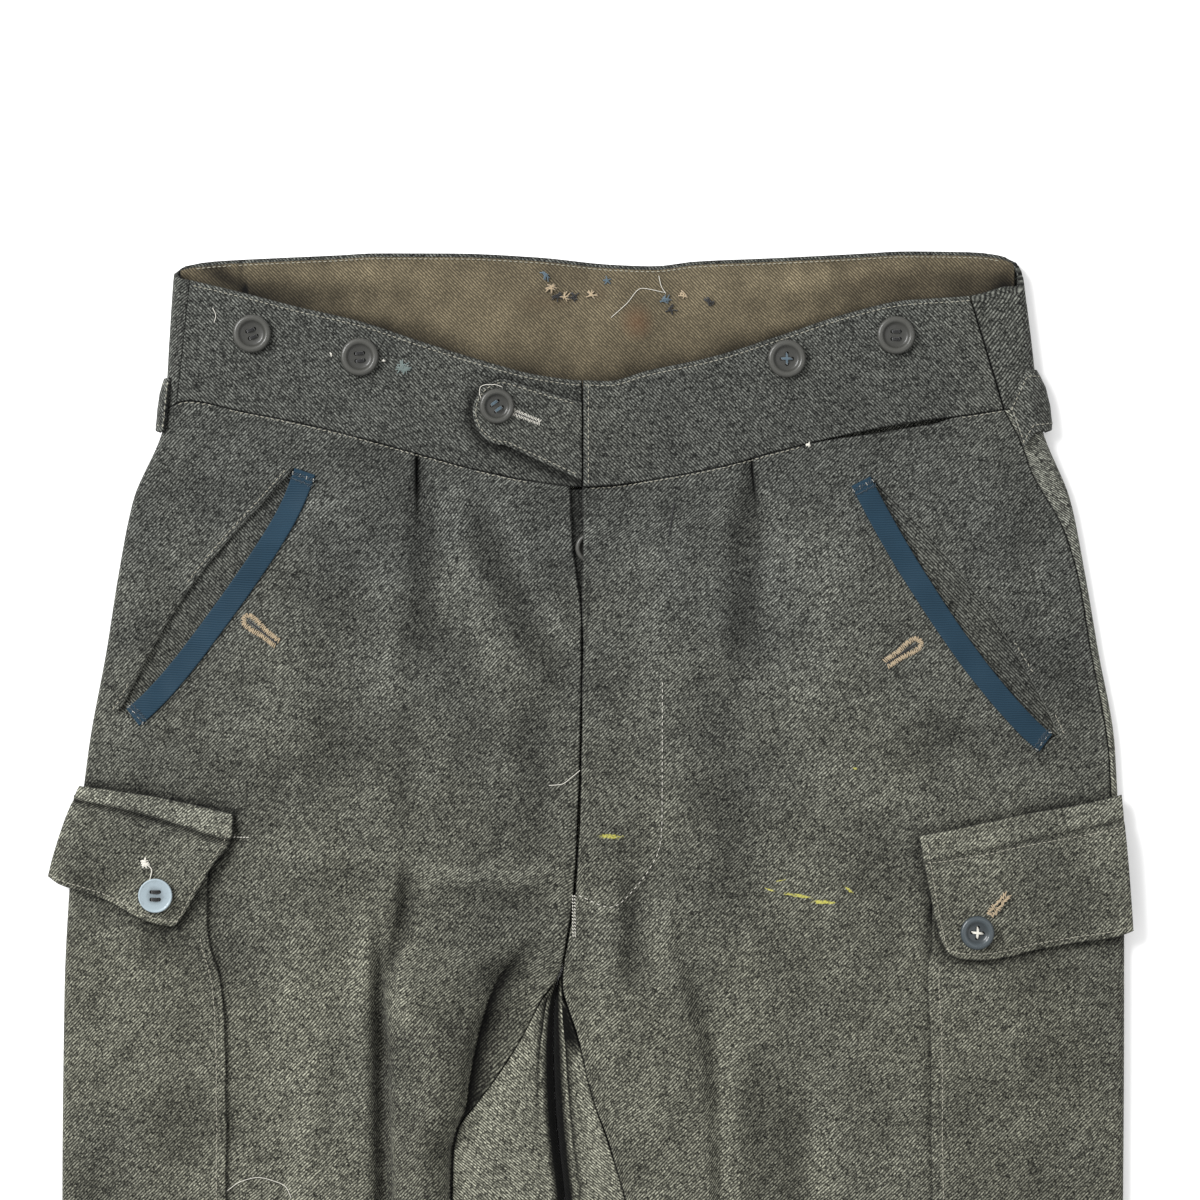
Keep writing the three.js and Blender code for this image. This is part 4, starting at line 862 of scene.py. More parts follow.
def band_back_grid():
    grid = []
    for share in np.linspace(0, 1, 18):
        def over(x):
            return mix(front_top(x), front_seam(x) - SEAM, share)

        def under(x):
            return mix(back_top(x), BAND_SEAM_DROP - SEAM, share)

        def turned(side, angles):
            x = edge_point(side, under(EDGE[side](5)), angles)[..., 0]
            drop = mix(under(x), over(x), np.clip(np.sin(angles), 0, 1))
            return edge_point(side, drop, angles)

        roll = turned(RIGHT, np.linspace(QUARTER, -QUARTER, 17))
        start = right_band_end(share) - 0.1
        x = np.linspace(start, min(roll[0, 0], start - 0.2), 4)[:-1]
        points = [place(x, over(x), band_height(RIGHT, x, over(x))), roll]
        x = np.linspace(-189, 199, 60)[1:-1]
        points.append(place(x, under(x), 0.0))
        points.append(turned(LEFT, np.linspace(-QUARTER, QUARTER, 17)))
        seam = mix(179.2, 195.4, share)
        x = np.linspace(points[-1][-1, 0], seam, 8)[1:]
        points.append(place(x, over(x), band_height(LEFT, x, over(x))))
        grid.append(np.concatenate(points))
    return np.array(grid)


LINING_TOP = BACK_BAND_CLOTH + LAY + LINING + 1.3


def lining_creases(x, drop):
    """The wrinkles dragged into the lining towards its right end, and the softer ones elsewhere."""
    near_end = smooth(158, 170, -x)
    pucker = np.sin((x * 0.55 - drop) / 2.6 + 1.5 * np.sin(drop / 9))
    slant = drop + 0.1 * np.abs(x) + 2.5 * np.sin(x / 19)
    outer = np.sin(slant / 2.9) * smooth(40, 110, np.abs(x))
    middle = 0.7 * np.sin(x / 7.5 + drop / 30) * smooth(90, 30, np.abs(x))
    return pucker * near_end, (outer + middle) * (1 - near_end)


def lining_grid():
    down = np.linspace(0, 1, 34)[:, None]
    x = np.linspace(-192.5, 200.6, 220)[None, :] + 0 * down
    drop = mix(back_top(x) + 1.9, 70, down)
    pucker, drag = lining_creases(x, drop)
    swell = 0.2 * np.sin(x / 31 + drop / 22)
    seam = -0.8 * np.exp(-(((x + 164 - 0.08 * drop) / 1.1) ** 2)) - 0.5 * np.exp(-((x / 1.4) ** 2))
    return place(x, drop, LINING_TOP + 0.8 * pucker + 0.3 * drag + swell + seam)


def lining_relief(x, drop):
    """Painted shade under the front edge and in the wrinkles, darker towards the ends."""
    below = np.maximum(0, front_top(x) - drop)
    pucker, drag = lining_creases(x, drop)
    hidden = -1.25 * np.exp(-below / 8)
    ends = -0.35 * smooth(60, 160, -x) - 0.4 * smooth(80, 180, x)
    seam = -1.2 * np.exp(-(((x + 164 - 0.08 * drop) / 0.8) ** 2))
    streak = 0.16 * np.sin(x / 3.1 + 2 * np.sin(x / 17)) * np.sin(drop / 5 + x / 40)
    return hidden + ends + 0.6 * pucker + 0.28 * drag + seam + streak


TAB_TURN = 1.4  # how far the tab's arc turns to each side of its tip
TAB_STITCH_INSET = 1.7


def tab_place(share, turn):
    """A place on the tab by its share of the length and a turn that is 0 along its middle."""
    down = np.sin(turn) / math.sin(TAB_TURN)
    x = mix(TAB["inner"], TAB["outer"] + TAB["outer_half"] * (1 - np.cos(turn)), share)
    along = np.clip((x - TAB["inner"]) / (TAB["outer"] + TAB["outer_half"] - TAB["inner"]), 0, 1)
    half = mix((TAB["bottom"] - TAB["top"]) / 2, TAB["outer_half"], along)
    middle = mix((TAB["bottom"] + TAB["top"]) / 2, TAB["outer_middle"], along)
    return x, middle + half * down


def tab_height(x, drop):
    return band_height(RIGHT, x, drop) + LAY + 2.3 + 1.1 * smooth(-26, -52, x)


def tab_grid():
    x, drop = tab_place(np.linspace(0, 1, 44)[None, :], np.linspace(-TAB_TURN, TAB_TURN, 30)[:, None])
    return place(x, drop, tab_height(x, drop))


def underlap_grid():
    drop = np.linspace(112.5, 212, 34)[:, None]
    x = np.linspace(-15, 12, 12)[None, :]
    z = front_height(RIGHT, np.minimum(x, CUT[RIGHT](drop)), drop) - WOOL - 0.5
    return place(x, drop, z)


def strap_grid(side):
    """A strap that lies slanting round the side fold; the left one ends on top of the garment."""
    s = STRAP[side]
    share = np.linspace(0, 1, 18)[:, None]
    at_edge = mix(s["top"], s["bottom"], share)
    angles = np.linspace(s["from"], -0.4, 16)
    grid = edge_point(side, at_edge, angles[None, :])
    reach = np.interp(angles, (-0.4, 0, 0.45, 0.9, QUARTER), s["stand"])
    if side == LEFT:
        along = np.linspace(0, 1, 13)[None, :-1]
        x = mix(mix(*s["end_x"], share), roll_top(side, at_edge), along)
        drop = mix(mix(*s["end_drop"], share), at_edge, along)
        grid = np.concatenate([place(x, drop, base_height(side, x, drop)), grid], axis=1)
        reach = np.concatenate([mix(0.8, s["stand"][-1], along[0]), reach])
    lift = np.interp(share, (0, 0.12, 0.3, 0.6, 0.88, 1), (-0.3, 0.15, 0.7, 1, 0.9, 0.6))
    return moved_out(grid, STRAP_LAY + STRAP_CLOTH + reach[None, :] * lift)


def mouth_line(side, side_edge, count):
    """Points along a hip pocket's mouth, by x and drop."""
    m = MOUTH[side]
    keys = ("side_x", "side_drop") if side_edge else ("x", "drop")
    t = np.linspace(-1, 1, len(m["x"]))
    along = np.linspace(-1, 1, count)
    return tuple(np.polyval(np.polyfit(t, m[key], 4), along) for key in keys)


def facing_grid(side):
    sx, sd = mouth_line(side, True, 44)
    tx, td = mouth_line(side, False, 44)
    taper = np.sin(np.linspace(0.35, math.pi - 0.35, 44))
    share = np.linspace(0, 1, 16)[None, :]
    x = mix((sx + SIGN[side] * 6 * taper)[:, None], (tx - SIGN[side] * 4 * taper)[:, None], share)
    drop = mix((sd - 2.5 * taper)[:, None], (td + 2 * taper)[:, None], share)
    limit = EDGE[side](drop) - SIGN[side] * (edge_radius(drop) + 3.5)
    x = np.minimum(x, limit) if side == LEFT else np.maximum(x, limit)
    return place(x, drop, front_height(side, x, drop) - WOOL - 0.25)


def tape_grid(side):
    x, drop = mouth_line(side, False, 70)
    dx, dd = np.gradient(x), np.gradient(drop)
    long = np.hypot(dx, dd)
    share = np.linspace(-0.5, 0.5, 9)[None, :] * TAPE_WIDTH
    across_x = x[:, None] + (dd / long)[:, None] * share
    across_d = drop[:, None] - (dx / long)[:, None] * share
    z = front_height(side, across_x, across_d) + LAY + TAPE
    return place(across_x, across_d, z)


def pocket_base(side):
    rows = rows_between(POCKET_TOP[side], POCKET_BOTTOM, 3)
    angles = np.linspace(-0.25 * math.pi, QUARTER, 10)[None, :-1]
    x = mix(roll_top(side, rows), POCKET_EDGE[side](rows), np.linspace(0, 1, 34)[None, :])
    return np.concatenate([edge_point(side, rows, angles), place(x, rows, front_height(side, x, rows))], axis=1)


def pocket_grid(side):
    base = pocket_base(side)
    rows, columns = base.shape[:2]
    down = np.linspace(0, 1, rows)[:, None]
    across = np.clip((np.arange(columns) - 10) / (columns - 11), 0, 1)[None, :]
    body = np.sin(math.pi * down).clip(0) ** 0.7 * np.sin(math.pi * across**0.8).clip(0) ** 0.8
    wave = 0.55 * np.sin(8 * across + 5.5 * down + 1) * np.sin(math.pi * across) * np.sin(math.pi * down)
    sag = 0.7 * np.exp(-(((down - 0.30 + 0.12 * across) / 0.035) ** 2)) * np.sin(math.pi * across)
    return moved_out(base, LAY + POCKET_CLOTH + 1.6 * body + wave + sag)


def edge_track(points):
    """Smooth curves for x and drop along a row of places, by the share of its length."""
    points = np.array(points, float)
    run = np.concatenate([[0], np.cumsum(np.hypot(*np.diff(points, axis=0).T))])
    line = {"t": run / run[-1], "x": points[:, 0], "d": points[:, 1]}
    return track(line, "x", "t"), track(line, "d", "t")


FLAP_EDGE = {
    side: {edge: edge_track(FLAP[side][edge])
        for edge in ("top", "bottom", "outer", "inner")} for side in (RIGHT, LEFT)
}


def flap_place(side, across, down):
    """A place on a flap by its shares across and down, between its four curved edges."""
    found = []
    for axis in (0, 1):
        top, bottom, outer, inner = (FLAP_EDGE[side][edge][axis] for edge in ("top", "bottom", "outer", "inner"))
        value = mix(top(across), bottom(across), down) + mix(outer(down), inner(down), across)
        corners = mix(mix(top(0), top(1), across), mix(bottom(0), bottom(1), across), down)
        found.append(value - corners)
    return found


def flap_relief(side, across, down):
    """The folded band at a flap's top, and the flap's lifting hem."""
    f = FLAP[side]
    line = mix(f["band"][0], f["band"][1], across)
    groove = -f["groove"] * np.exp(-(((down - line) / np.where(down < line, 0.012, 0.035)) ** 2))
    ridge = f["ridge"] * smooth(0, 0.06, down) * smooth(line, line - 0.05, down)
    curl = 0.8 * smooth(0.7, 1, down) * np.sin(2.4 * math.pi * across + (0.6 if side == LEFT else 2.2))
    sway = 0.5 * np.sin(5 * across + 4 * down) * np.sin(math.pi * across) * smooth(line, 1, down)
    return groove + ridge + curl + sway


def flap_height(side, x, drop, down):
    roll = roll_top(side, drop)
    past = np.maximum(0, (x - roll) * SIGN[side])
    at = np.where(past > 0, roll, x)
    stand = mix(LAY + 0.1, LAY + POCKET_CLOTH + 2.5, smooth(0, 0.4, down))
    return front_height(side, at, drop) + stand - 0.028 * past * past * np.where(past > 9, 0.9, 1)


FLAP_SHARES = (
    np.linspace(0, 1, 64)[None, :],
    np.concatenate([np.linspace(0, 0.1, 5)[:-1], np.linspace(0.1, 0.3, 24), np.linspace(0.3, 1, 30)[1:]])[:, None],
)


def flap_grid(side):
    across, down = FLAP_SHARES
    x, drop = flap_place(side, across, down)
    return place(x, drop, flap_height(side, x, drop, down) + FLAP_CLOTH + flap_relief(side, across, down))


# Shader groups and materials


def new_group(name, inputs, outputs):
    group = bpy.data.node_groups.new(name, "ShaderNodeTree")
    for label, kind, default in inputs:
        socket = group.interface.new_socket(label, in_out="INPUT", socket_type=kind)
        if default is not None:
            socket.default_value = default
    for label, kind in outputs:
        group.interface.new_socket(label, in_out="OUTPUT", socket_type=kind)
    return group, group.nodes.new("NodeGroupInput"), group.nodes.new("NodeGroupOutput")


def add_node(tree, kind, inputs=None, **settings):
    """A node with its settings, and a value or a link at each of the inputs given."""
    node = tree.nodes.new(kind)
    for name, value in settings.items():
        setattr(node, name, value)
    for name, value in (inputs or {}).items():
        if hasattr(value, "is_output"):
            tree.links.new(value, node.inputs[name])
        else:
            node.inputs[name].default_value = value
    return node


def maths(tree, operation, *values, clamp=False):
    node = add_node(tree, "ShaderNodeMath", dict(enumerate(values)), operation=operation, use_clamp=clamp)
    return node.outputs[0]


def product(tree, first, *others):
    for other in others:
        first = maths(tree, "MULTIPLY", first, other)
    return first


def noise(tree, vector, scale, detail=2.0, stretch=None, roughness=0.5):
    """Noise whose scale counts features per metre."""
    if stretch:
        vector = add_node(tree, "ShaderNodeMapping", {"Scale": stretch, "Vector": vector}).outputs[0]
    inputs = {"Scale": scale, "Detail": detail, "Roughness": roughness, "Vector": vector}
    return add_node(tree, "ShaderNodeTexNoise", inputs).outputs["Fac"]


def cell_noise(tree, row, column):
    """One random value for each pair of whole numbers."""
    pair = add_node(tree, "ShaderNodeCombineXYZ", {"X": row, "Y": column}).outputs[0]
    return add_node(tree, "ShaderNodeTexWhiteNoise", {"Vector": pair}, noise_dimensions="2D").outputs["Value"]


def mixed(tree, factor, a, b, mode="MIX"):
    inputs = {"Factor": factor, 6: a, 7: b}
    return add_node(tree, "ShaderNodeMix", inputs, data_type="RGBA", blend_type=mode).outputs[2]


def remap(tree, value, low, high, to_low=0.0, to_high=1.0):
    inputs = {"From Min": low, "From Max": high, "To Min": to_low, "To Max": to_high, "Value": value}
    return add_node(tree, "ShaderNodeMapRange", inputs, clamp=True).outputs[0]


def axes_of(tree, vector):
    return add_node(tree, "ShaderNodeSeparateXYZ", {0: vector}).outputs


RIB_SHARE = 0.75  # ribs across one pitch, counted along the cloth's own axes


def twill_group():
    """Diagonal ribs of a twill, with the light and dark yarns of a salt-and-pepper cloth."""
    group, given, out = new_group(
        "Twill weave",
        [("Vector", "NodeSocketVector", None), ("Pitch", "NodeSocketFloat", 0.0013),
            ("Lean", "NodeSocketFloat", 1.0)],
        [("Rib", "NodeSocketFloat"), ("Yarn", "NodeSocketFloat"), ("Mottle", "NodeSocketFloat")],
    )
    vector, pitch, lean = (given.outputs[label] for label in ("Vector", "Pitch", "Lean"))

    def calc(operation, *values, **options):
        return maths(group, operation, *values, **options)

    x, y = (axes_of(group, vector)[axis] for axis in ("X", "Y"))
    across = calc("SUBTRACT", y, calc("MULTIPLY", x, lean))
    along = calc("ADD", x, calc("MULTIPLY", y, lean))
    turns = calc("MULTIPLY", calc("DIVIDE", across, pitch), RIB_SHARE)
    turns = calc("MULTIPLY_ADD", noise(group, vector, 150.0), 0.7, turns)
    rib = calc("MULTIPLY_ADD", calc("SINE", calc("MULTIPLY", turns, 2 * math.pi)), 0.5, 0.5)
    row, run = calc("FLOOR", turns), calc("DIVIDE", along, pitch)
    step = calc("MULTIPLY_ADD", row, 0.37, calc("MULTIPLY", run, 0.95))
    floats = calc("POWER", cell_noise(group, row, calc("FLOOR", step)), 1.4)
    floats = calc("MULTIPLY", floats, calc("POWER", rib, 1.5))
    row = calc("FLOOR", calc("MULTIPLY", turns, 2.3))
    step = calc("MULTIPLY_ADD", row, 0.5, calc("MULTIPLY", run, 1.7))
    fine = calc("POWER", cell_noise(group, row, calc("FLOOR", step)), 2.0)
    fine = calc("MULTIPLY", fine, calc("MULTIPLY_ADD", rib, 0.4, 0.12))
    group.links.new(rib, out.inputs["Rib"])
    group.links.new(calc("MULTIPLY_ADD", floats, 0.7, fine, clamp=True), out.inputs["Yarn"])
    spots = noise(group, vector, 420.0, 3.0, (0.1, 1.0, 1.0), 0.7)
    group.links.new(remap(group, spots, 0.3, 0.7), out.inputs["Mottle"])
    return group


def cloth_wear_and_shade_group():
    """Uneven fading and soiling of old cloth, and the painted shading that the relief attribute carries: painted
    highlight on fold ridges, and painted shade in valleys, crevices and beside what lies on top.
    """
    group, given, out = new_group(
        "Old cloth and painted shading",
        [("Vector", "NodeSocketVector", None), ("Relief", "NodeSocketFloat", 0.0)],
        [("Fade", "NodeSocketFloat"), ("Soil", "NodeSocketFloat"), ("Rub", "NodeSocketFloat")],
    )
    vector = given.outputs["Vector"]
    broad = noise(group, vector, 11.0, 4.0, None, 0.6)
    patch = noise(group, vector, 34.0, 5.0, (1.0, 0.7, 1.0), 0.65)
    # Painted shading: the relief attribute darkens the cloth as painted shade and lightens it as painted highlight.
    shade = maths(group, "MAXIMUM", maths(group, "MULTIPLY_ADD", given.outputs["Relief"], 0.5, 1.0), 0.02)
    group.links.new(remap(group, broad, 0.3, 0.7), out.inputs["Fade"])
    group.links.new(remap(group, patch, 0.42, 0.72), out.inputs["Soil"])
    group.links.new(maths(group, "POWER", shade, 1.15), out.inputs["Rub"])
    return group


def group_node(tree, group, **values):
    return add_node(tree, "ShaderNodeGroup", values, node_tree=group)


def linear(colour):
    """A colour picked from sRGB values, 0 to 255, as the linear colour that shaders take."""
    return tuple(((c / 255 + 0.055) / 1.055) ** 2.4 if c > 10 else c / 255 / 12.92 for c in colour) + (1.0,)


def shader(name, roughness, sheen=0.0, sheen_roughness=0.5, coat=0.0, specular=0.3):
    material = bpy.data.materials.new(name)
    material.use_nodes = True
    tree = material.node_tree
    principled = tree.nodes["Principled BSDF"]
    for label, value in (
        ("Roughness", roughness), ("Sheen Weight", sheen), ("Sheen Roughness", sheen_roughness),
        ("Coat Weight", coat), ("Specular IOR Level", specular),
    ):
        principled.inputs[label].default_value = value
    return material, tree, principled


def bump(tree, height, distance, strength=1.0):
    inputs = {"Strength": strength, "Distance": distance, "Height": height}
    return add_node(tree, "ShaderNodeBump", inputs).outputs["Normal"]


def cut_coordinates(tree):
    return add_node(tree, "ShaderNodeUVMap", uv_map="cut").outputs[0]


def relief_of(tree):
    return add_node(tree, "ShaderNodeAttribute", attribute_name="relief").outputs["Fac"]


def object_coordinates(tree):
    return tree.nodes.new("ShaderNodeTexCoord").outputs["Object"]


def blob(tree, centre, half, turn=0.0, soft=0.4):
    """A soft-edged oval patch at a place on the garment: 1 inside and 0 outside."""
    inputs = {
        "Location": (centre[0] * MM, (LENGTH / 2 - centre[1]) * MM, 0),
        "Rotation": (0, 0, math.radians(turn)),
        "Scale": (half[0] * MM, half[1] * MM, 1000),
        "Vector": object_coordinates(tree),
    }
    mapping = add_node(tree, "ShaderNodeMapping", inputs, vector_type="TEXTURE")
    length = add_node(tree, "ShaderNodeVectorMath", {0: mapping.outputs[0]}, operation="LENGTH")
    return remap(tree, length.outputs["Value"], 1.0, 1.0 - soft)


# Yellow paint on the fronts, by place, half size and turn.
PAINT = table(
    "x drop half_x half_drop turn",
    [
        (10, 275.4, 14, 3.0, -3),
        (98, 303.2, 18, 2.2, -9),
        (110, 306.2, 14, 2.6, -2),
        (85, 300.5, 6, 1.2, -18),
        (122, 300.5, 7, 1.6, -38),
        (90, 296, 6, 1.0, 12),
        (125, 243.5, 3, 1.2, -12),
    ],
)


def shaded(tree, colour, level):
    """A colour multiplied by a level of grey."""
    grey = add_node(tree, "ShaderNodeCombineColor", {0: level, 1: level, 2: level}).outputs[0]
    return mixed(tree, 1.0, colour, grey, "MULTIPLY")


def tinted(colour, times=1.0):
    """A colour made paler or darker, with its alpha."""
    return tuple(min(1, c * times) for c in colour) + (1.0,)


HIPS_END_Y, LEGS_START_Y = 0.40, 0.16  # where the wool turns from grey to olive


def wool_material(name, shared, lean, tone=1.0, painted=False, olive=0.0):
    """Grey wool twill, greyer over the hips and more olive down the legs."""
    colours = bpy.context.scene.trouser_colours
    material, tree, principled = shader(name, 0.95, sheen=0.04, specular=0.12)
    pitch = bpy.context.scene.trouser_sizes.weave_pitch
    weave = group_node(tree, shared["twill"], Vector=cut_coordinates(tree), Pitch=pitch, Lean=lean)
    wear_and_shade = group_node(tree, shared["wear_and_shade"], Vector=object_coordinates(tree), Relief=relief_of(tree))
    legs = remap(tree, axes_of(tree, object_coordinates(tree))["Y"], HIPS_END_Y, LEGS_START_Y)
    legs = maths(tree, "ADD", legs, maths(tree, "MULTIPLY_ADD", wear_and_shade.outputs["Fade"], 0.5, olive - 0.25), clamp=True)
    dark = mixed(tree, legs, tinted(colours.wool_dark), tinted(colours.olive_dark))
    light = mixed(tree, legs, tinted(colours.wool_light), tinted(colours.olive_light))
    colour = mixed(tree, weave.outputs["Yarn"], dark, light)
    faded = maths(tree, "MULTIPLY_ADD", wear_and_shade.outputs["Fade"], 0.2, 0.9)
    mottled = maths(tree, "MULTIPLY_ADD", weave.outputs["Mottle"], 0.34, 0.83)
    soiled = maths(tree, "MULTIPLY_ADD", wear_and_shade.outputs["Soil"], -0.16, 1.05)
    # The level takes in the painted shading of the relief attribute: painted shade in valleys, crevices and beside
    # pieces on top, and painted highlight on ridges.
    colour = shaded(tree, colour, product(tree, faded, mottled, soiled, wear_and_shade.outputs["Rub"], tone))
    if painted:
        broken = noise(tree, object_coordinates(tree), 1300.0, 3.0, (0.6, 1.1, 1.0), 0.8)
        for row in rows_of(PAINT):
            mask = blob(tree, row[:2], row[2:4], row[4], 0.8)
            mask = remap(tree, product(tree, mask, broken), 0.38, 0.5, 0.0, 0.85)
            colour = mixed(tree, mask, colour, tinted(colours.paint))
    tree.links.new(colour, principled.inputs["Base Color"])
    height = maths(tree, "MULTIPLY_ADD", weave.outputs["Rib"], 0.6, product(tree, weave.outputs["Yarn"], 0.5))
    tree.links.new(bump(tree, height, 0.0002, 0.6), principled.inputs["Normal"])
    return material


RUST, BROWN_STAIN = (0.12, 0.05, 0.022, 1.0), (0.06, 0.042, 0.025, 1.0)
STAINS = table(
    "x drop half_x half_drop turn",
    [(22.3, 33.4, 9, 10, 0), (5, 20, 5, 7, 20), (44, 20, 4, 7, -10), (-20, 24, 20, 6, 5)],
)


def lining_material(shared):
    colours = bpy.context.scene.trouser_colours
    material, tree, principled = shader("Brown cotton lining", 0.85, sheen=0.04, specular=0.15)
    weave = group_node(tree, shared["twill"], Vector=cut_coordinates(tree), Pitch=0.00125, Lean=-1.0)
    wear_and_shade = group_node(tree, shared["wear_and_shade"], Vector=object_coordinates(tree), Relief=relief_of(tree))
    dark = tinted(colours.lining, 0.28)
    yarn = maths(tree, "MULTIPLY_ADD", weave.outputs["Rib"], 0.4, product(tree, weave.outputs["Yarn"], 0.85))
    colour = mixed(tree, yarn, dark, tinted(colours.lining, 1.9))
    colour = mixed(tree, product(tree, weave.outputs["Mottle"], 0.2), colour, tinted(colours.lining))
    colour = mixed(tree, product(tree, wear_and_shade.outputs["Soil"], 0.4), colour, dark)
    faded = maths(tree, "MULTIPLY_ADD", wear_and_shade.outputs["Fade"], 0.4, 0.8)
    # The level takes in the painted shade of the relief attribute, under the front edge and in the wrinkles.
    colour = shaded(tree, colour, product(tree, wear_and_shade.outputs["Rub"], faded))
    for i, row in enumerate(rows_of(STAINS)):
        mask = product(tree, blob(tree, row[:2], row[2:4], row[4], 0.9), 0.35)
        colour = mixed(tree, mask, colour, RUST if i == 0 else BROWN_STAIN)
    tree.links.new(colour, principled.inputs["Base Color"])
    tree.links.new(bump(tree, weave.outputs["Rib"], 0.0002, 0.7), principled.inputs["Normal"])
    return material


TAPE_RIB = 0.0011


def tape_material():
    colours = bpy.context.scene.trouser_colours
    material, tree, principled = shader("Blue ribbed tape", 0.7, sheen=0.03, specular=0.2)
    cut = cut_coordinates(tree)
    wander = product(tree, noise(tree, cut, 90.0), 1.2)
    turns = maths(tree, "MULTIPLY_ADD", axes_of(tree, cut)["Y"], 1 / TAPE_RIB, wander)
    rib = maths(tree, "MULTIPLY_ADD", maths(tree, "SINE", product(tree, turns, 2 * math.pi)), 0.5, 0.5)
    light = tinted(colours.tape, 1.5)
    faded = remap(tree, noise(tree, object_coordinates(tree), 60.0, 3.0), 0.45, 0.7)
    colour = mixed(tree, product(tree, rib, 0.5), tinted(colours.tape), light)
    colour = mixed(tree, product(tree, faded, 0.4), colour, light)
    tree.links.new(colour, principled.inputs["Base Color"])
    tree.links.new(bump(tree, rib, 0.0002, 0.8), principled.inputs["Normal"])
    return material


def button_material(name, colour, rim_highlight, coat):
    """A moulded button whose raised rim is painted paler than its dish, as a painted highlight."""
    material, tree, principled = shader(name, 0.38, coat=coat)
    speck = noise(tree, object_coordinates(tree), 700.0, 4.0, None, 0.7)
    # Painted highlight: the relief attribute marks the raised rim, which is made paler.
    lift = maths(tree, "MULTIPLY", relief_of(tree), 0.9, clamp=True)
    shade = mixed(tree, lift, tinted(colour), tinted(colour, rim_highlight))
    highlight_and_grime = mixed(tree, remap(tree, speck, 0.55, 0.75, 0.0, 0.45), shade, tinted(colour, 0.5))
    tree.links.new(highlight_and_grime, principled.inputs["Base Color"])
    tree.links.new(remap(tree, speck, 0.3, 0.7, 0.3, 0.5), principled.inputs["Roughness"])
    tree.links.new(bump(tree, speck, 0.00006, 0.5), principled.inputs["Normal"])
    return material


def thread_material(name, colour):
    material, tree, principled = shader(name, 0.8, sheen=0.3)
    twist = noise(tree, object_coordinates(tree), 1800.0)
    tree.links.new(mixed(tree, twist, tinted(colour, 0.55), tinted(colour)), principled.inputs["Base Color"])
    tree.links.new(bump(tree, twist, 0.0001, 0.6), principled.inputs["Normal"])
    return material


MATERIALS = {}


def make_materials():
    colours = bpy.context.scene.trouser_colours
    shared = {"twill": twill_group(), "wear_and_shade": cloth_wear_and_shade_group()}
    MATERIALS.update(
        wool=wool_material("Wool of the fronts", shared, 1.0, painted=True),
        wool_back=wool_material("Wool of the backs", shared, 1.0, tone=1.65, olive=0.35),
        wool_band=wool_material("Wool of the waistband", shared, -1.0, tone=0.94),
        wool_pocket=wool_material("Wool of the pockets", shared, 1.0),
        wool_flap=wool_material("Wool of the flaps", shared, 1.0, tone=1.1, olive=0.15),
        wool_facing=wool_material("Wool of the facings", shared, -1.0, tone=0.85),
        # The strip behind the fly is painted much darker than the rest of the wool, as painted shade.
        wool_inside=wool_material("Wool behind the fly", shared, 1.0, tone=0.4),
        lining=lining_material(shared),
        tape=tape_material(),
        dark_button=button_material("Dark button", colours.dark_button, 1.7, 0.1),
        pale_button=button_material("Pale button", colours.pale_button, 2.0, 0.2),
        slate_button=button_material("Slate button", colours.slate_button, 1.9, 0.25),
        pale_thread=thread_material("Pale thread", colours.pale_thread),
        grey_thread=thread_material("Grey thread", colours.grey_thread),
        bright_thread=thread_material("Worn pale thread", tuple(c * 0.85 for c in colours.pale_thread)),
        black_thread=thread_material("Black thread", (0.008, 0.008, 0.009)),
        blue_thread=thread_material("Blue thread", (0.075, 0.115, 0.145)),
        navy_thread=thread_material("Navy thread", (0.012, 0.028, 0.042)),
        green_thread=thread_material("Faded green thread", (0.13, 0.17, 0.16)),
        beige_thread=thread_material("Beige thread", colours.beige_thread),
    )


# Stitches by Geometry Nodes


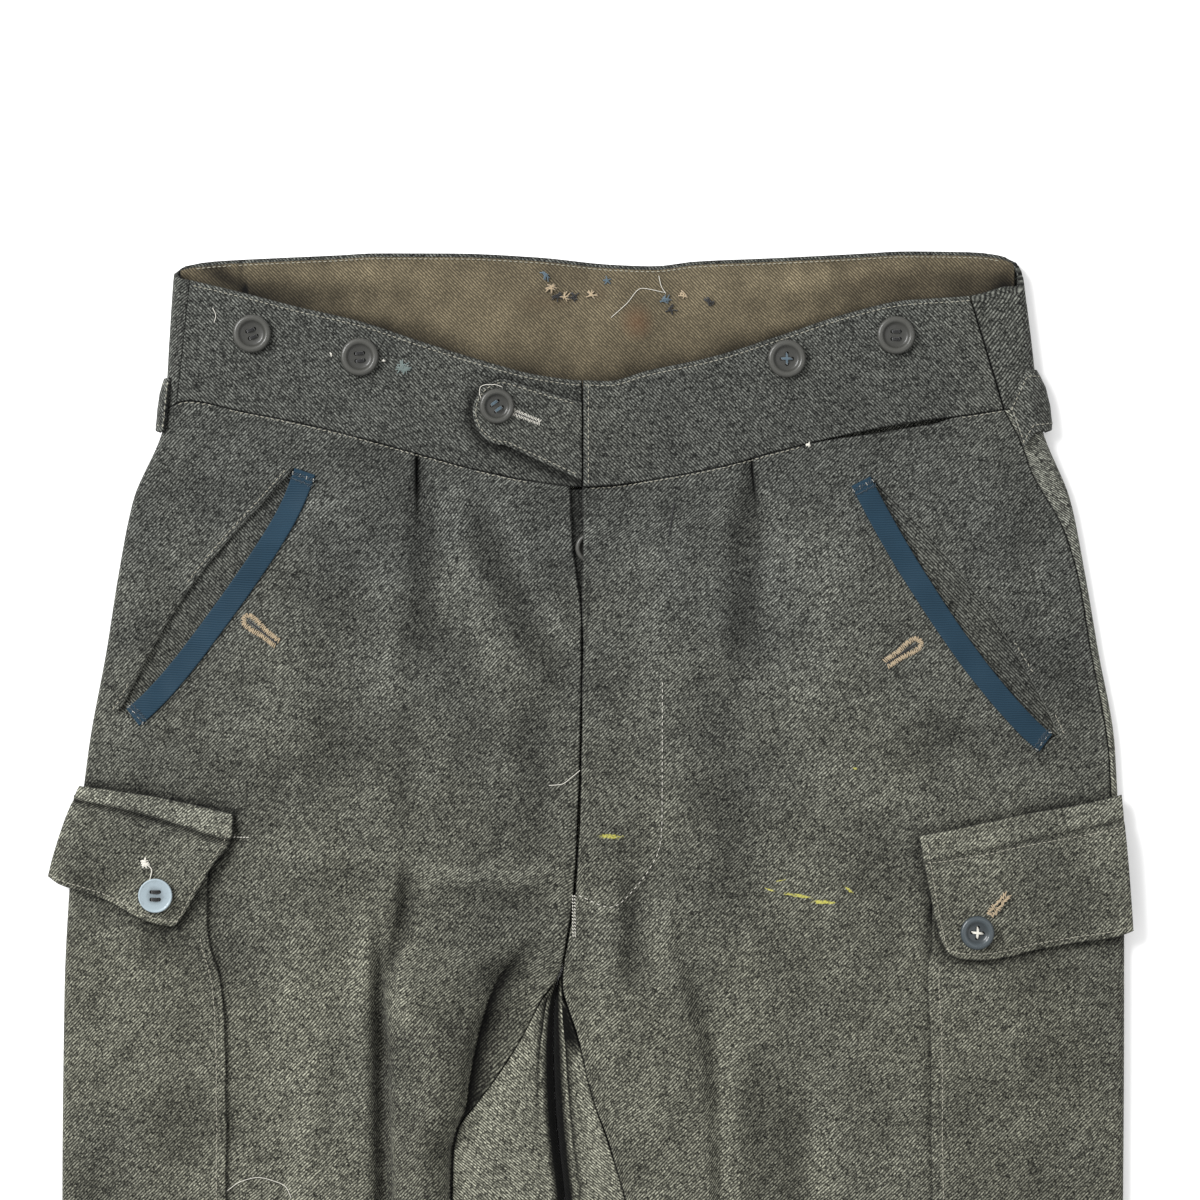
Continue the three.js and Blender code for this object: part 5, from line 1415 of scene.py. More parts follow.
def stitch_tree():
    """Short rounded stitches along the edges of a line, laid along it or across it."""
    tree = bpy.data.node_groups.new("Run of stitches", "GeometryNodeTree")
    face = tree.interface
    face.new_socket("Geometry", in_out="INPUT", socket_type="NodeSocketGeometry")
    floats = {"Spacing": 0.003, "Length": 0.0022, "Width": 0.0004, "Turn": 0.0, "Unevenness": 0.15}
    for label, default in floats.items():
        face.new_socket(label, in_out="INPUT", socket_type="NodeSocketFloat").default_value = default
    face.new_socket("Material", in_out="INPUT", socket_type="NodeSocketMaterial")
    face.new_socket("Geometry", in_out="OUTPUT", socket_type="NodeSocketGeometry")
    given, out = tree.nodes.new("NodeGroupInput").outputs, tree.nodes.new("NodeGroupOutput")
    curve = add_node(tree, "GeometryNodeMeshToCurve", {0: given["Geometry"]}).outputs[0]
    even = add_node(tree, "GeometryNodeResampleCurve", mode="LENGTH")
    tree.links.new(curve, even.inputs["Curve"])
    tree.links.new(given["Spacing"], even.inputs["Length"])
    ball = add_node(tree, "GeometryNodeMeshUVSphere", {"Segments": 6, "Rings": 4, "Radius": 0.5}).outputs["Mesh"]
    size = {"X": given["Width"], "Y": given["Width"], "Z": given["Length"]}
    size = add_node(tree, "ShaderNodeCombineXYZ", size).outputs[0]
    shape = add_node(tree, "GeometryNodeTransform", {"Geometry": ball, "Scale": size}).outputs[0]
    tangent = add_node(tree, "GeometryNodeInputTangent").outputs[0]
    uneven = {"Seed": 3, 2: maths(tree, "MULTIPLY", given["Unevenness"], -1), 3: given["Unevenness"]}
    uneven = add_node(tree, "FunctionNodeRandomValue", uneven, data_type="FLOAT").outputs[1]
    turned = {"Vector": tangent, "Angle": maths(tree, "ADD", given["Turn"], uneven)}
    turned = add_node(tree, "ShaderNodeVectorRotate", turned, rotation_type="Z_AXIS").outputs[0]
    align = add_node(tree, "FunctionNodeAlignRotationToVector", {"Vector": turned}, axis="Z").outputs[0]
    put = {"Points": even.outputs[0], "Instance": shape, "Rotation": align}
    put = add_node(tree, "GeometryNodeInstanceOnPoints", put).outputs[0]
    real = add_node(tree, "GeometryNodeRealizeInstances", {0: put}).outputs[0]
    paint = add_node(tree, "GeometryNodeSetMaterial", {"Geometry": real, "Material": given["Material"]})
    tree.links.new(paint.outputs[0], out.inputs[0])
    return tree


def polyline_object(name, lines):
    """An object of loose edges through each list of points, in millimetres."""
    mesh = bpy.data.meshes.new(name)
    points, edges = [], []
    for line in lines:
        first = len(points)
        points += [tuple(p) for p in np.asarray(line) * MM]
        edges += [(first + i, first + i + 1) for i in range(len(line) - 1)]
    mesh.from_pydata(points, edges, [])
    return linked(name, mesh)


STITCH_TREE = []
RAISED = [0, 0, 0.1]  # how far stitches stand off the cloth that they lie on


def stitches(name, lines, material, spacing=3.1, length=2.5, width=0.42, turn=0.0, unevenness=0.1):
    """Runs of stitches along lines, turned into one plain mesh."""
    if not STITCH_TREE:
        STITCH_TREE.append(stitch_tree())
    path = polyline_object(name + "_path", lines)
    modifier = path.modifiers.new("stitches", "NODES")
    modifier.node_group = STITCH_TREE[0]
    given = {"Spacing": spacing * MM, "Length": length * MM, "Width": width * MM}
    given.update({"Turn": turn, "Unevenness": unevenness, "Material": MATERIALS[material]})
    for item in STITCH_TREE[0].interface.items_tree:
        if item.in_out == "INPUT" and item.name in given:
            modifier[item.identifier] = given[item.name]
    evaluated = path.evaluated_get(bpy.context.evaluated_depsgraph_get())
    mesh = bpy.data.meshes.new_from_object(evaluated)
    mesh.name = name
    mesh.shade_smooth()
    bpy.data.objects.remove(path)
    return finished(linked(name, mesh), [], MATERIALS[material])


def tubes(name, lines, material, radius, sides=6):
    """Threads as tubes along lines."""
    points, faces = [], []
    for line in lines:
        line = np.asarray(line, float)
        tangent = np.gradient(line, axis=0)
        tangent /= np.linalg.norm(tangent, axis=1, keepdims=True) + 1e-9
        across = np.cross(tangent, [0, 0, 1.0])
        weak = np.linalg.norm(across, axis=1) < 1e-3
        across[weak] = [1, 0, 0]
        across /= np.linalg.norm(across, axis=1, keepdims=True)
        up = np.cross(across, tangent)
        first = len(points)
        for i, centre in enumerate(line):
            for k in range(sides):
                a = 2 * math.pi * k / sides
                points.append(tuple((centre + radius * (across[i] * math.cos(a) + up[i] * math.sin(a))) * MM))
        for i in range(len(line) - 1):
            for k in range(sides):
                a, b = first + i * sides + k, first + i * sides + (k + 1) % sides
                faces.append((a, b, b + sides, a + sides))
        faces.append(tuple(first + k for k in reversed(range(sides))))
        faces.append(tuple(first + (len(line) - 1) * sides + k for k in range(sides)))
    mesh = bpy.data.meshes.new(name)
    mesh.from_pydata(points, [], faces)
    work = bmesh.new()
    work.from_mesh(mesh)
    bmesh.ops.recalc_face_normals(work, faces=work.faces)
    work.to_mesh(mesh)
    work.free()
    mesh.shade_smooth()
    return finished(linked(name, mesh), [], MATERIALS[material])


def spline(points, count):
    """A smooth line through points, each a tuple of coordinates."""
    points = np.array(points, float)
    steps = {"t": np.arange(len(points), dtype=float)}
    t = np.linspace(0, len(points) - 1, count)
    found = []
    for i in range(points.shape[1]):
        steps["v"] = points[:, i]
        found.append(track(steps, "v", "t")(t))
    return np.stack(found, axis=-1)


def lies_on(line, height, raised=0.12):
    """Puts a line of x and drop on a surface."""
    line = np.asarray(line, float)
    return place(line[:, 0], line[:, 1], height(line[:, 0], line[:, 1]) + raised)


def on_front(side):
    return lambda x, d: front_height(side, x, d)


def on_band(side):
    return lambda x, d: band_height(side, x, d)


# Buttons

BRACE_PROFILE = [
    (0, 0.95), (2.6, 0.95), (4.7, 1.05), (5.5, 1.35), (6.0, 2.0), (6.5, 2.55), (7.3, 2.78), (8.1, 2.6),
    (8.7, 2.1), (9.0, 1.4), (8.8, 0.7), (8.0, 0.2), (6.4, 0), (0, 0),
]
POCKET_PROFILE = [
    (0, 1.15), (2.6, 1.15), (4.0, 1.25), (4.7, 1.6), (5.2, 2.15), (5.8, 2.5), (6.6, 2.6), (7.3, 2.4),
    (7.8, 1.9), (8.0, 1.3), (7.7, 0.6), (7.0, 0.15), (5.6, 0), (0, 0),
]
FLAT_PROFILE = [
    (0, 1.75), (2.6, 1.75), (4.6, 1.8), (6.4, 1.88), (7.1, 2.0), (7.4, 2.2), (7.7, 2.15), (8.0, 1.7), (8.0, 1.2),
    (7.6, 0.5), (7.0, 0.1), (5.6, 0), (0, 0),
]
HOLE_REACH, HOLE_RADIUS = 1.75, 0.95


def button(name, node, profile, x, drop, z, turn, material, scale=1.0, tilt=(0.0, 0.0)):
    """A turned button with four holes."""
    sides = 56
    profile = np.array(profile, float) * [scale, 1]
    points = [(0, 0, profile[0][1])]
    ring = []
    turns = [2 * math.pi * k / sides for k in range(sides)]
    for r, h in profile[1:-1]:
        ring.append(len(points))
        points += [(r * math.cos(a), r * math.sin(a), h) for a in turns]
    points.append((0, 0, 0))
    faces = [(0, ring[0] + k, ring[0] + (k + 1) % sides) for k in range(sides)]
    for a, b in zip(ring, ring[1:]):
        faces += [(a + k, b + k, b + (k + 1) % sides, a + (k + 1) % sides) for k in range(sides)]
    faces += [(len(points) - 1, ring[-1] + (k + 1) % sides, ring[-1] + k) for k in range(sides)]
    mesh = bpy.data.meshes.new(name)
    mesh.from_pydata(points, [], faces)
    piece = linked(name, mesh)
    cutter_work = bmesh.new()
    for dx in (-1, 1):
        for dy in (-1, 1):
            at = Matrix.Translation((dx * HOLE_REACH, dy * HOLE_REACH, 1))
            bmesh.ops.create_cone(cutter_work, cap_ends=True, segments=20, radius1=HOLE_RADIUS, radius2=HOLE_RADIUS,
                                  depth=6, matrix=at)
    cutter_mesh = bpy.data.meshes.new("holes")
    cutter_work.to_mesh(cutter_mesh)
    cutter_work.free()
    cut(piece, linked("holes", cutter_mesh))
    mesh = piece.data
    # The relief attribute marks the raised rim, where the material paints a highlight.
    lift = mesh.attributes.new("relief", "FLOAT", "POINT")
    highest = profile[:, 1].max()
    heights = np.array([v.co.z for v in mesh.vertices])
    reach = np.array([math.hypot(v.co.x, v.co.y) for v in mesh.vertices]) / profile[:, 0].max()
    painted_light_level = np.clip((heights / highest - 0.55) * 2.4, 0, 1) * (reach > 0.5)
    lift.data.foreach_set("value", painted_light_level.astype(np.float32))
    turned = Matrix.Rotation(tilt[0], 4, "X") @ Matrix.Rotation(tilt[1], 4, "Y")
    turned = turned @ Matrix.Rotation(math.radians(turn), 4, "Z")
    mesh.transform(Matrix.Translation(Vector((x, LENGTH / 2 - drop, z)) * MM) @ turned @ Matrix.Scale(MM, 4))
    for polygon in mesh.polygons:
        polygon.use_smooth = True
    mesh.set_sharp_from_angle(angle=math.radians(50))
    return finished(piece, [node], MATERIALS[material])


def cut(piece, cutter):
    """Cuts one object out of another and removes the cutter."""
    modifier = piece.modifiers.new("cut", "BOOLEAN")
    modifier.operation = "DIFFERENCE"
    modifier.solver = "EXACT"
    modifier.object = cutter
    evaluated = piece.evaluated_get(bpy.context.evaluated_depsgraph_get())
    mesh = bpy.data.meshes.new_from_object(evaluated)
    piece.modifiers.clear()
    piece.data = mesh
    bpy.data.objects.remove(cutter)


def button_threads(name, x, drop, z, turn, material, loops=3, crossed=False):
    """Thread bars through a button's holes."""
    lines = []
    c, s = math.cos(math.radians(turn)), math.sin(math.radians(turn))
    bars = [((-1, -1), (1, 1)), ((-1, 1), (1, -1))] if crossed else [((-1, -1), (1, -1)), ((-1, 1), (1, 1))]
    for bar, (a, b) in enumerate(bars):
        for k in range(loops):
            shift = (k - (loops - 1) / 2) * 0.42
            ends = []
            for px, py in (a, b):
                ax, ay = px * HOLE_REACH, py * HOLE_REACH + shift
                ends.append((x + ax * c - ay * s, drop - (ax * s + ay * c)))
            t = np.linspace(0, 1, 9)
            height = z + 0.2 + 1.15 * np.sin(math.pi * t).clip(0) ** 0.45 + 0.12 * bar
            lines.append(place(mix(ends[0][0], ends[1][0], t), mix(ends[0][1], ends[1][1], t), height))
    return tubes(name, lines, material, 0.26)


def seat(surface, x, drop, radius):
    """The highest place of a surface under a button."""
    a = np.linspace(0, 2 * math.pi, 12)
    return float(np.max(surface(x + radius * 0.75 * np.cos(a), drop + radius * 0.75 * np.sin(a))))


# Settings


class TrouserSizes(bpy.types.PropertyGroup):
    """Sizes that a user would change."""

    weave_pitch: bpy.props.FloatProperty(
        name="Weave pitch", description="Distance between the twill's diagonal ribs", default=0.0013, unit="LENGTH"
    )
    stitch_spacing: bpy.props.FloatProperty(
        name="Stitch spacing", description="Distance from one topstitch to the next, in millimetres", default=3.1
    )
    camera_height: bpy.props.FloatProperty(
        name="Camera height", description="Height of the camera above the cloth", default=1.6, unit="LENGTH"
    )
    view_width: bpy.props.FloatProperty(
        name="View width", description="Width of what the camera sees at the cloth", default=0.564, unit="LENGTH"
    )


def colour_property(name, description, srgb):
    return bpy.props.FloatVectorProperty(
        name=name, description=description, subtype="COLOR", size=3, min=0, max=1, default=linear(srgb)[:3]
    )


class TrouserColours(bpy.types.PropertyGroup):
    """Colours that a user would change."""

    wool_dark: colour_property("Dark yarn", "Dark yarn over the hips", (16, 17, 16))
    wool_light: colour_property("Light yarn", "Light yarn over the hips", (122, 124, 118))
    olive_dark: colour_property("Dark leg yarn", "Dark yarn down the legs", (20, 20, 17))
    olive_light: colour_property("Light leg yarn", "Light yarn down the legs", (142, 142, 127))
    lining: colour_property("Lining", "Brown cotton of the waistband lining", (92, 84, 67))
    tape: colour_property("Tape", "Blue tape of the hip pockets", (17, 40, 54))
    dark_button: colour_property("Dark button", "Brace and tab buttons", (48, 48, 45))
    pale_button: colour_property("Pale button", "Right flap's button", (104, 114, 119))
    slate_button: colour_property("Slate button", "Left flap's button", (40, 46, 49))
    pale_thread: colour_property("Pale thread", "Loose ends and tacks", (214, 211, 200))
    grey_thread: colour_property("Grey thread", "Topstitching", (158, 155, 140))
    beige_thread: colour_property("Beige thread", "Buttonholes", (168, 150, 122))
    paint: colour_property("Paint", "Old paint smears", (168, 164, 78))


# Operators, one for each group of pieces


class TROUSERS_OT_fronts(bpy.types.Operator):
    """Makes the two front panels, with their folds and hip pocket mouths"""

    bl_idname = "trousers.fronts"
    bl_label = "Fronts"

    def execute(self, context):
        for side in (RIGHT, LEFT):
            grid = front_grid(side)
            x, drop = grid[..., 0], drop_of(grid)
            # Painted shading from the folds: painted highlight on ridges and painted shade in valleys; below the hips
            # the left front is painted a little lighter and the right a little darker.
            relief = np.tanh((fold_height(FOLDS, x, drop) + 0.35 * ripple(x, drop)) / 1.7)
            relief = 0.85 * relief + (0.12 if side == LEFT else -0.06) * smooth(250, 340, drop)
            out = (x - CREASE[side](drop)) * SIGN[side]
            # Painted shade along the line of the pressed pleat.
            relief = relief - 1.9 * np.exp(-((out + 0.3) / 0.6) ** 2) * smooth(128, 100, drop)
            # Painted shadow on the front beside the flap and the pocket that lie on it.
            for made, sides, depth, reach in (
                (flap_grid(side), "top end bottom", 1.5, 3.0),
                (pocket_grid(side), "end", 0.8, 2.2),
            ):
                relief = relief + shade_beside(grid, *border(made, sides), depth, reach)
            if side == RIGHT:
                # Painted shadow under the overhang of the right front's big fold, between its crest and its cut edge.
                crest = x[:, -1 - LOBE_COLUMNS]
                beyond = np.maximum(0, x[:, -1 - LOBE_COLUMNS :] - crest[:, None])
                under = np.exp(-((beyond / 8.5) ** 2.2)) * smooth(0, 0.7, beyond)
                under = under * smooth(4, 11, RISE[side](drop[:, -1:]))
                lobe = relief[:, -1 - LOBE_COLUMNS :]
                lobe += (-1.95 - lobe) * under
            piece = cloth(f"front_{side}_cloth", grid, WOOL, relief=relief)
            self.cut_mouth(piece, side)
            finished(piece, [f"front_{side}"], MATERIALS["wool"])
        return {"FINISHED"}

    def cut_mouth(self, piece, side):
        sx, sd = mouth_line(side, True, 40)
        tx, td = mouth_line(side, False, 40)
        inset = SIGN[side] * 1.5
        outline = list(zip(sx, sd)) + list(zip(tx - inset, td + 0.4))[::-1]
        work = bmesh.new()
        low = [work.verts.new((x * MM, (LENGTH / 2 - d) * MM, 0.0005)) for x, d in outline]
        high = [work.verts.new((x * MM, (LENGTH / 2 - d) * MM, 0.06)) for x, d in outline]
        work.faces.new(low)
        work.faces.new(high)
        for i in range(len(low)):
            j = (i + 1) % len(low)
            work.faces.new((low[i], low[j], high[j], high[i]))
        bmesh.ops.recalc_face_normals(work, faces=work.faces)
        mesh = bpy.data.meshes.new("mouth")
        work.to_mesh(mesh)
        work.free()
        cut(piece, linked("mouth", mesh))


class TROUSERS_OT_backs(bpy.types.Operator):
    """Makes the two back panels, which wrap over the sides and round the inner legs"""

    bl_idname = "trousers.backs"
    bl_label = "Backs"

    def execute(self, context):
        for side in (RIGHT, LEFT):
            grid = back_grid(side)
            relief = np.zeros(grid.shape[:2])
            drop = drop_of(grid)[:, :1]
            below = smooth(334, 343, drop)
            wrap = np.s_[:, :WRAP_COLUMNS]
            angles = np.linspace(QUARTER, -QUARTER, ROLL_COLUMNS)
            # Painted shade: the inner leg's roll and the strip beside it are painted nearly black along the whole leg
            # below the crotch, down to the hems, and the cloth in the crotch hole is painted dark.
            relief[:, WRAP_COLUMNS : WRAP_COLUMNS + ROLL_COLUMNS] = -2.0 * smooth(1.52, 1.15, angles) * below
            hole = -2.0 * smooth(384, 370, drop) if side == LEFT else -0.7 * smooth(366, 350, drop)
            from_roll = grid[..., 0][wrap] - grid[:, WRAP_COLUMNS : WRAP_COLUMNS + 1, 0]
            beside = -2.0 * np.exp(-((from_roll / 2.4) ** 2))
            relief[wrap] = np.minimum(hole * below, beside * below)
            piece = cloth(f"back_{side}_cloth", grid, WOOL, facing=-1, relief=relief)
            finished(piece, [f"back_{side}"], MATERIALS["wool_back"])
        return {"FINISHED"}


class TROUSERS_OT_waistband(bpy.types.Operator):
    """Makes the waistband and its lining"""

    bl_idname = "trousers.waistband"
    bl_label = "Waistband and lining"

    def execute(self, context):
        for side, quiet in ((RIGHT, "start"), (LEFT, "")):
            grid = band_front_grid(side)
            relief = None
            if side == RIGHT:
                # Painted shadow on the right front waistband beside the tab, pushed towards its lower left.
                x, drop = border(tab_grid(), "top bottom end")
                relief = shade_beside(grid, x - 1.0, drop + 1.3, 1.5, 3.6)
            piece = cloth(f"waistband_front_{side}_cloth", grid, BAND, roll=1.2, relief=relief, quiet=quiet)
            finished(piece, [f"waistband_front_{side}"], MATERIALS["wool_band"])
        piece = cloth("waistband_back_cloth", band_back_grid(), BACK_BAND_CLOTH, facing=-1, quiet="start")
        finished(piece, ["waistband_back"], MATERIALS["wool_band"])
        grid = lining_grid()
        relief = lining_relief(grid[..., 0], drop_of(grid))
        piece = cloth("waistband_lining_cloth", grid, LINING, roll=0.4, relief=relief)
        finished(piece, ["waistband_lining"], MATERIALS["lining"])
        return {"FINISHED"}


class TROUSERS_OT_closure(bpy.types.Operator):
    """Makes the waist tab and the strip behind the fly"""

    bl_idname = "trousers.closure"
    bl_label = "Tab and fly strip"

    def execute(self, context):
        piece = cloth("waist_tab_cloth", tab_grid(), 2.0, roll=1.2, edge=FREE, quiet="start")
        finished(piece, ["waist_tab"], MATERIALS["wool_band"])
        piece = cloth("fly_underlap_cloth", underlap_grid(), UNDERLAP)
        finished(piece, ["fly_underlap"], MATERIALS["wool_inside"])
        return {"FINISHED"}


class TROUSERS_OT_straps(bpy.types.Operator):
    """Makes the side straps"""

    bl_idname = "trousers.straps"
    bl_label = "Side straps"

    def execute(self, context):
        for side in (RIGHT, LEFT):
            piece = cloth(f"side_strap_{side}_cloth", strap_grid(side), STRAP_CLOTH, roll=0.8, edge=FREE)
            finished(piece, [f"side_strap_{side}"], MATERIALS["wool_band"])
        return {"FINISHED"}


class TROUSERS_OT_hip_pockets(bpy.types.Operator):
    """Makes the hip pockets' tapes and the cloth behind their mouths"""

    bl_idname = "trousers.hip_pockets"
    bl_label = "Hip pockets"

    def execute(self, context):
        for side in (RIGHT, LEFT):
            piece = cloth(f"hip_pocket_facing_{side}_cloth", facing_grid(side), FACING)
            finished(piece, [f"hip_pocket_facing_{side}"], MATERIALS["wool_facing"])
            piece = cloth(f"hip_pocket_tape_{side}_cloth", tape_grid(side), TAPE, roll=0.4)
            finished(piece, [f"hip_pocket_tape_{side}"], MATERIALS["tape"])
        return {"FINISHED"}


class TROUSERS_OT_thigh_pockets(bpy.types.Operator):
    """Makes the thigh pockets and their flaps"""

    bl_idname = "trousers.thigh_pockets"
    bl_label = "Thigh pockets and flaps"

    def execute(self, context):
        for side in (RIGHT, LEFT):
            grid = pocket_grid(side)
            # Painted shadow on the pocket beside the flap's inner and bottom edges, and painted shading from the
            # folds.
            relief = shade_beside(grid, *border(flap_grid(side), "end bottom"), 1.2, 3.2)
            x, drop = grid[..., 0], drop_of(grid)
            relief = relief + np.tanh((fold_height(FOLDS, x, drop) + 0.4 * ripple(x, drop)) / 1.7)
            piece = cloth(f"thigh_pocket_{side}_cloth", grid, POCKET_CLOTH, relief=relief)
            finished(piece, [f"thigh_pocket_{side}"], MATERIALS["wool_pocket"])
            across, down = FLAP_SHARES
            # Painted shade in the flap's groove and painted highlight on its ridge, following the shape of its folded
            # band.
            relief = 0.75 * flap_relief(side, across, down) + 0.2 * np.sin(9 * across + 3 * down)
            piece = cloth(f"thigh_flap_{side}_cloth", flap_grid(side), FLAP_CLOTH, roll=1.0, relief=relief, edge=FREE)
            finished(piece, [f"thigh_flap_{side}"], MATERIALS["wool_flap"])
        return {"FINISHED"}


class TROUSERS_OT_buttons(bpy.types.Operator):
    """Makes the buttons and the thread that holds them"""

    bl_idname = "trousers.buttons"
    bl_label = "Buttons"

    def execute(self, context):
        for i, (x, drop, turn) in enumerate(rows_of(BRACE_BUTTONS)):
            side = RIGHT if x < 0 else LEFT
            z = seat(on_band(side), x, drop, 9) + 0.3
            name = f"brace_button_{i + 1}"
            button(name + "_face", name, BRACE_PROFILE, x, drop, z, turn, "dark_button")
            thread = "blue_thread" if i == 2 else "black_thread"
            button_threads(name + "_thread", x, drop, z + 0.5, turn, thread, crossed=i == 2)
        x, drop, turn = TAB_BUTTON
        z = seat(tab_height, x, drop, 5) + 0.3
        button("tab_button_face", "tab_button", BRACE_PROFILE, x, drop, z, turn, "dark_button",
               0.92, (0.05, 0.13))
        button_threads("tab_button_thread", x, drop, z + 0.6, turn, "blue_thread")
        for side in (RIGHT, LEFT):
            x, drop, turn = FLAP_BUTTON[side]
            z = seat(lambda px, pd: flap_height(side, px, pd, 0.8) + FLAP_CLOTH + 0.7, x, drop, 8) + 0.3
            name = f"flap_button_{side}"
            kind = "pale_button" if side == RIGHT else "slate_button"
            profile = FLAT_PROFILE if side == RIGHT else POCKET_PROFILE
            button(name + "_face", name, profile, x, drop, z, turn, kind)
            thread = "black_thread" if side == RIGHT else "pale_thread"
            button_threads(name + "_thread", x, drop, z + 0.9, turn, thread, loops=4 if side == RIGHT else 3,
                           crossed=side == LEFT)
        x, drop, turn = FLY_BUTTON
        z = float(front_height(RIGHT, CUT[RIGHT](drop), drop)) - WOOL - 0.4
        button("fly_button_face", "fly_button", BRACE_PROFILE, x, drop, z, turn, "dark_button", 0.8)
        return {"FINISHED"}


class TROUSERS_OT_stitching(bpy.types.Operator):
    """Makes the topstitching, bar tacks and buttonholes"""

    bl_idname = "trousers.stitching"
    bl_label = "Stitching"

    def execute(self, context):
        self.topstitch()
        self.buttonholes()
        return {"FINISHED"}

    def topstitch(self):
        lines, heavy = [], []
        for side, ends in ((RIGHT, (-185, -5)), (LEFT, (-1, 178))):
            x = np.linspace(*ends, 60)
            lines.append(lies_on(np.stack([x, front_top(x) + 2.3], -1), on_band(side)))
        for side, runs in ((RIGHT, ((-192, -178), (-168, -60), (-52, -30))), (LEFT, ((2, 98), (176, 193)))):
            for start, end in runs:
                x = np.linspace(start, end, 40)
                heavy.append(lies_on(np.stack([x, front_seam(x) + 0.7], -1), on_front(side), 0.3))
        drop = np.linspace(64.5, 109, 14)
        lines.append(lies_on(np.stack([0 * drop - 0.2, drop], -1), on_band(LEFT)))
        turn = TAB_TURN * np.concatenate([np.full(24, -1), np.linspace(-1, 1, 30)[1:-1], np.full(24, 1)])
        share = np.concatenate([np.linspace(0.03, 1, 24), np.ones(28), np.linspace(1, 0.03, 24)])
        x, drop = tab_place(share, turn)
        dx, dd = np.gradient(x), np.gradient(drop)
        inwards = TAB_STITCH_INSET / np.hypot(dx, dd)
        lines.append(lies_on(np.stack([x + dd * inwards, drop - dx * inwards], -1)[2:-2], tab_height, 0.2))
        x = np.linspace(-184, 192, 110)
        lines.append(place(x, back_top(x) + 2.9, LINING_TOP + 0.35 + 0 * x))
        j = spline([(34.5, 204), (34.3, 268), (33, 281), (28, 291.4), (10.5, 308.4), (-4, 303.4)], 50)
        stitches("fly_stitching", [lies_on(j, on_front(LEFT), 0.35)], "bright_thread", length=1.9, width=0.46)
        for side in (RIGHT, LEFT):
            sx, sd = mouth_line(side, True, 60)
            edge = lies_on(np.stack([sx + SIGN[side] * 2.0, sd - 1.2], -1), on_front(side))
            heavy += [edge[1:25], edge[-10:]] if side == RIGHT else [edge[36:43], edge[-6:]]
            base = pocket_grid(side)
            heavy.append(base[16:-1, -3] + [0, 0, 0.15])
            band = sum(FLAP[side]["band"]) / 2 + 0.03
            for start, end in (((0.03, 0.955), (0.96, 0.95)), ((0.965, 0.1), (0.965, 0.95))):
                across = np.linspace(start[0], end[0], 40)
                down = np.linspace(start[1], end[1], 40)
                lines.append(self.on_flap(side, across, down))
            if side == LEFT:
                across = np.linspace(0.02, 0.97, 40)
                lines.append(self.on_flap(side, across, band + 0 * across))
            edge = strap_grid(side)
            lines += [line + RAISED for line in (edge[2, 1:-2], edge[-3, 1:-2], edge[2:-2, 1])]
        gap = bpy.context.scene.trouser_sizes.stitch_spacing
        stitches("topstitching", lines, "grey_thread", spacing=gap * 0.8, length=gap * 0.58, width=0.44)
        stitches("seam_stitching", heavy, "grey_thread", spacing=gap * 0.8, length=gap * 0.62, width=0.46,
                 unevenness=0.4)
        tacks = [
            lies_on([(-6.6, 303.4), (-6.4, 322)], on_front(LEFT), 0.25),
            lies_on([(-7.6, 303.4), (-7.4, 322)], on_front(LEFT), 0.25),
            lies_on([(-166.5, 275.8), (-160.3, 276)], on_front(RIGHT), 0.5),
            lies_on([(40, 119), (37.6, 134)], on_front(LEFT), 0.1),
        ]
        stitches("bar_tacks", tacks[:3], "bright_thread", spacing=1.5, length=1.4, width=0.6, turn=0.5,
                 unevenness=0.5)
        tubes("darning", tacks[3:], "black_thread", 0.3)
        for side in (RIGHT, LEFT):
            grid = tape_grid(side)
            ends = [grid[row] + RAISED for row in (1, 2, -2, -3)]
            stitches(f"tape_ends_{side}", ends, "navy_thread", spacing=1.1, length=2.4, width=0.5, turn=0.4,
                     unevenness=0.9)
            stitches(f"tape_tacks_{side}", ends[::2], "bright_thread", spacing=3.4, length=1.8, width=0.4, turn=0.9,
                     unevenness=1.2)

    def on_flap(self, side, across, down):
        x, drop = flap_place(side, across, down)
        return place(x, drop, flap_height(side, x, drop, down) + FLAP_CLOTH + flap_relief(side, across, down) + 0.15)

    def buttonholes(self):
        holes = {
            "hip_buttonhole_right": (RIGHT, (-159.8, 174.3), (-146.5, 184.8)),
            "hip_buttonhole_left": (LEFT, (153.6, 185.2), (139.8, 194.4)),
        }
        for name, (side, eye, tail) in holes.items():
            for ring, (reach, width) in enumerate(((0.0, 0.62), (0.9, 0.5))):
                line = self.keyhole(eye, tail, 2.5 + reach * 0.3, 1.5 + reach * 0.3)
                surface = lies_on(line, on_front(side), 0.3 + 0.12 * ring)
                stitches(f"{name}_{ring}", [surface], "beige_thread", spacing=0.95 - 0.15 * ring,
                         length=3.1 - 0.9 * ring, width=width, turn=QUARTER, unevenness=0.4)
            tubes(name + "_slit", [lies_on(np.linspace(eye, tail, 12), on_front(side), 0.25)], "black_thread", 0.45)
        line = self.keyhole((-36.8, 75.9), (-23, 81.3), 0.9, 0.7)
        surface = lies_on(line, tab_height, 0.25)
        stitches("tab_buttonhole", [surface], "bright_thread", spacing=0.75, length=2.0, width=0.5, turn=QUARTER,
                 unevenness=0.5)
        tubes("tab_slit", [lies_on([(-34, 77), (-24, 81)], tab_height, 0.15)], "black_thread", 0.35)

        def left_flap(x, drop):
            return flap_height(LEFT, x, drop, 0.7) + FLAP_CLOTH + 0.6

        line = lies_on(self.keyhole((188.4, 310.6), (195.6, 302.4), 1.3, 1.0), left_flap, 0.2)
        for kind, length, width in (("beige_thread", 3.0, 0.7), ("pale_thread", 2.4, 0.6)):
            stitches(f"flap_buttonhole_{kind}", [line], kind, spacing=0.8, length=length, width=width, turn=QUARTER,
                     unevenness=1.3)

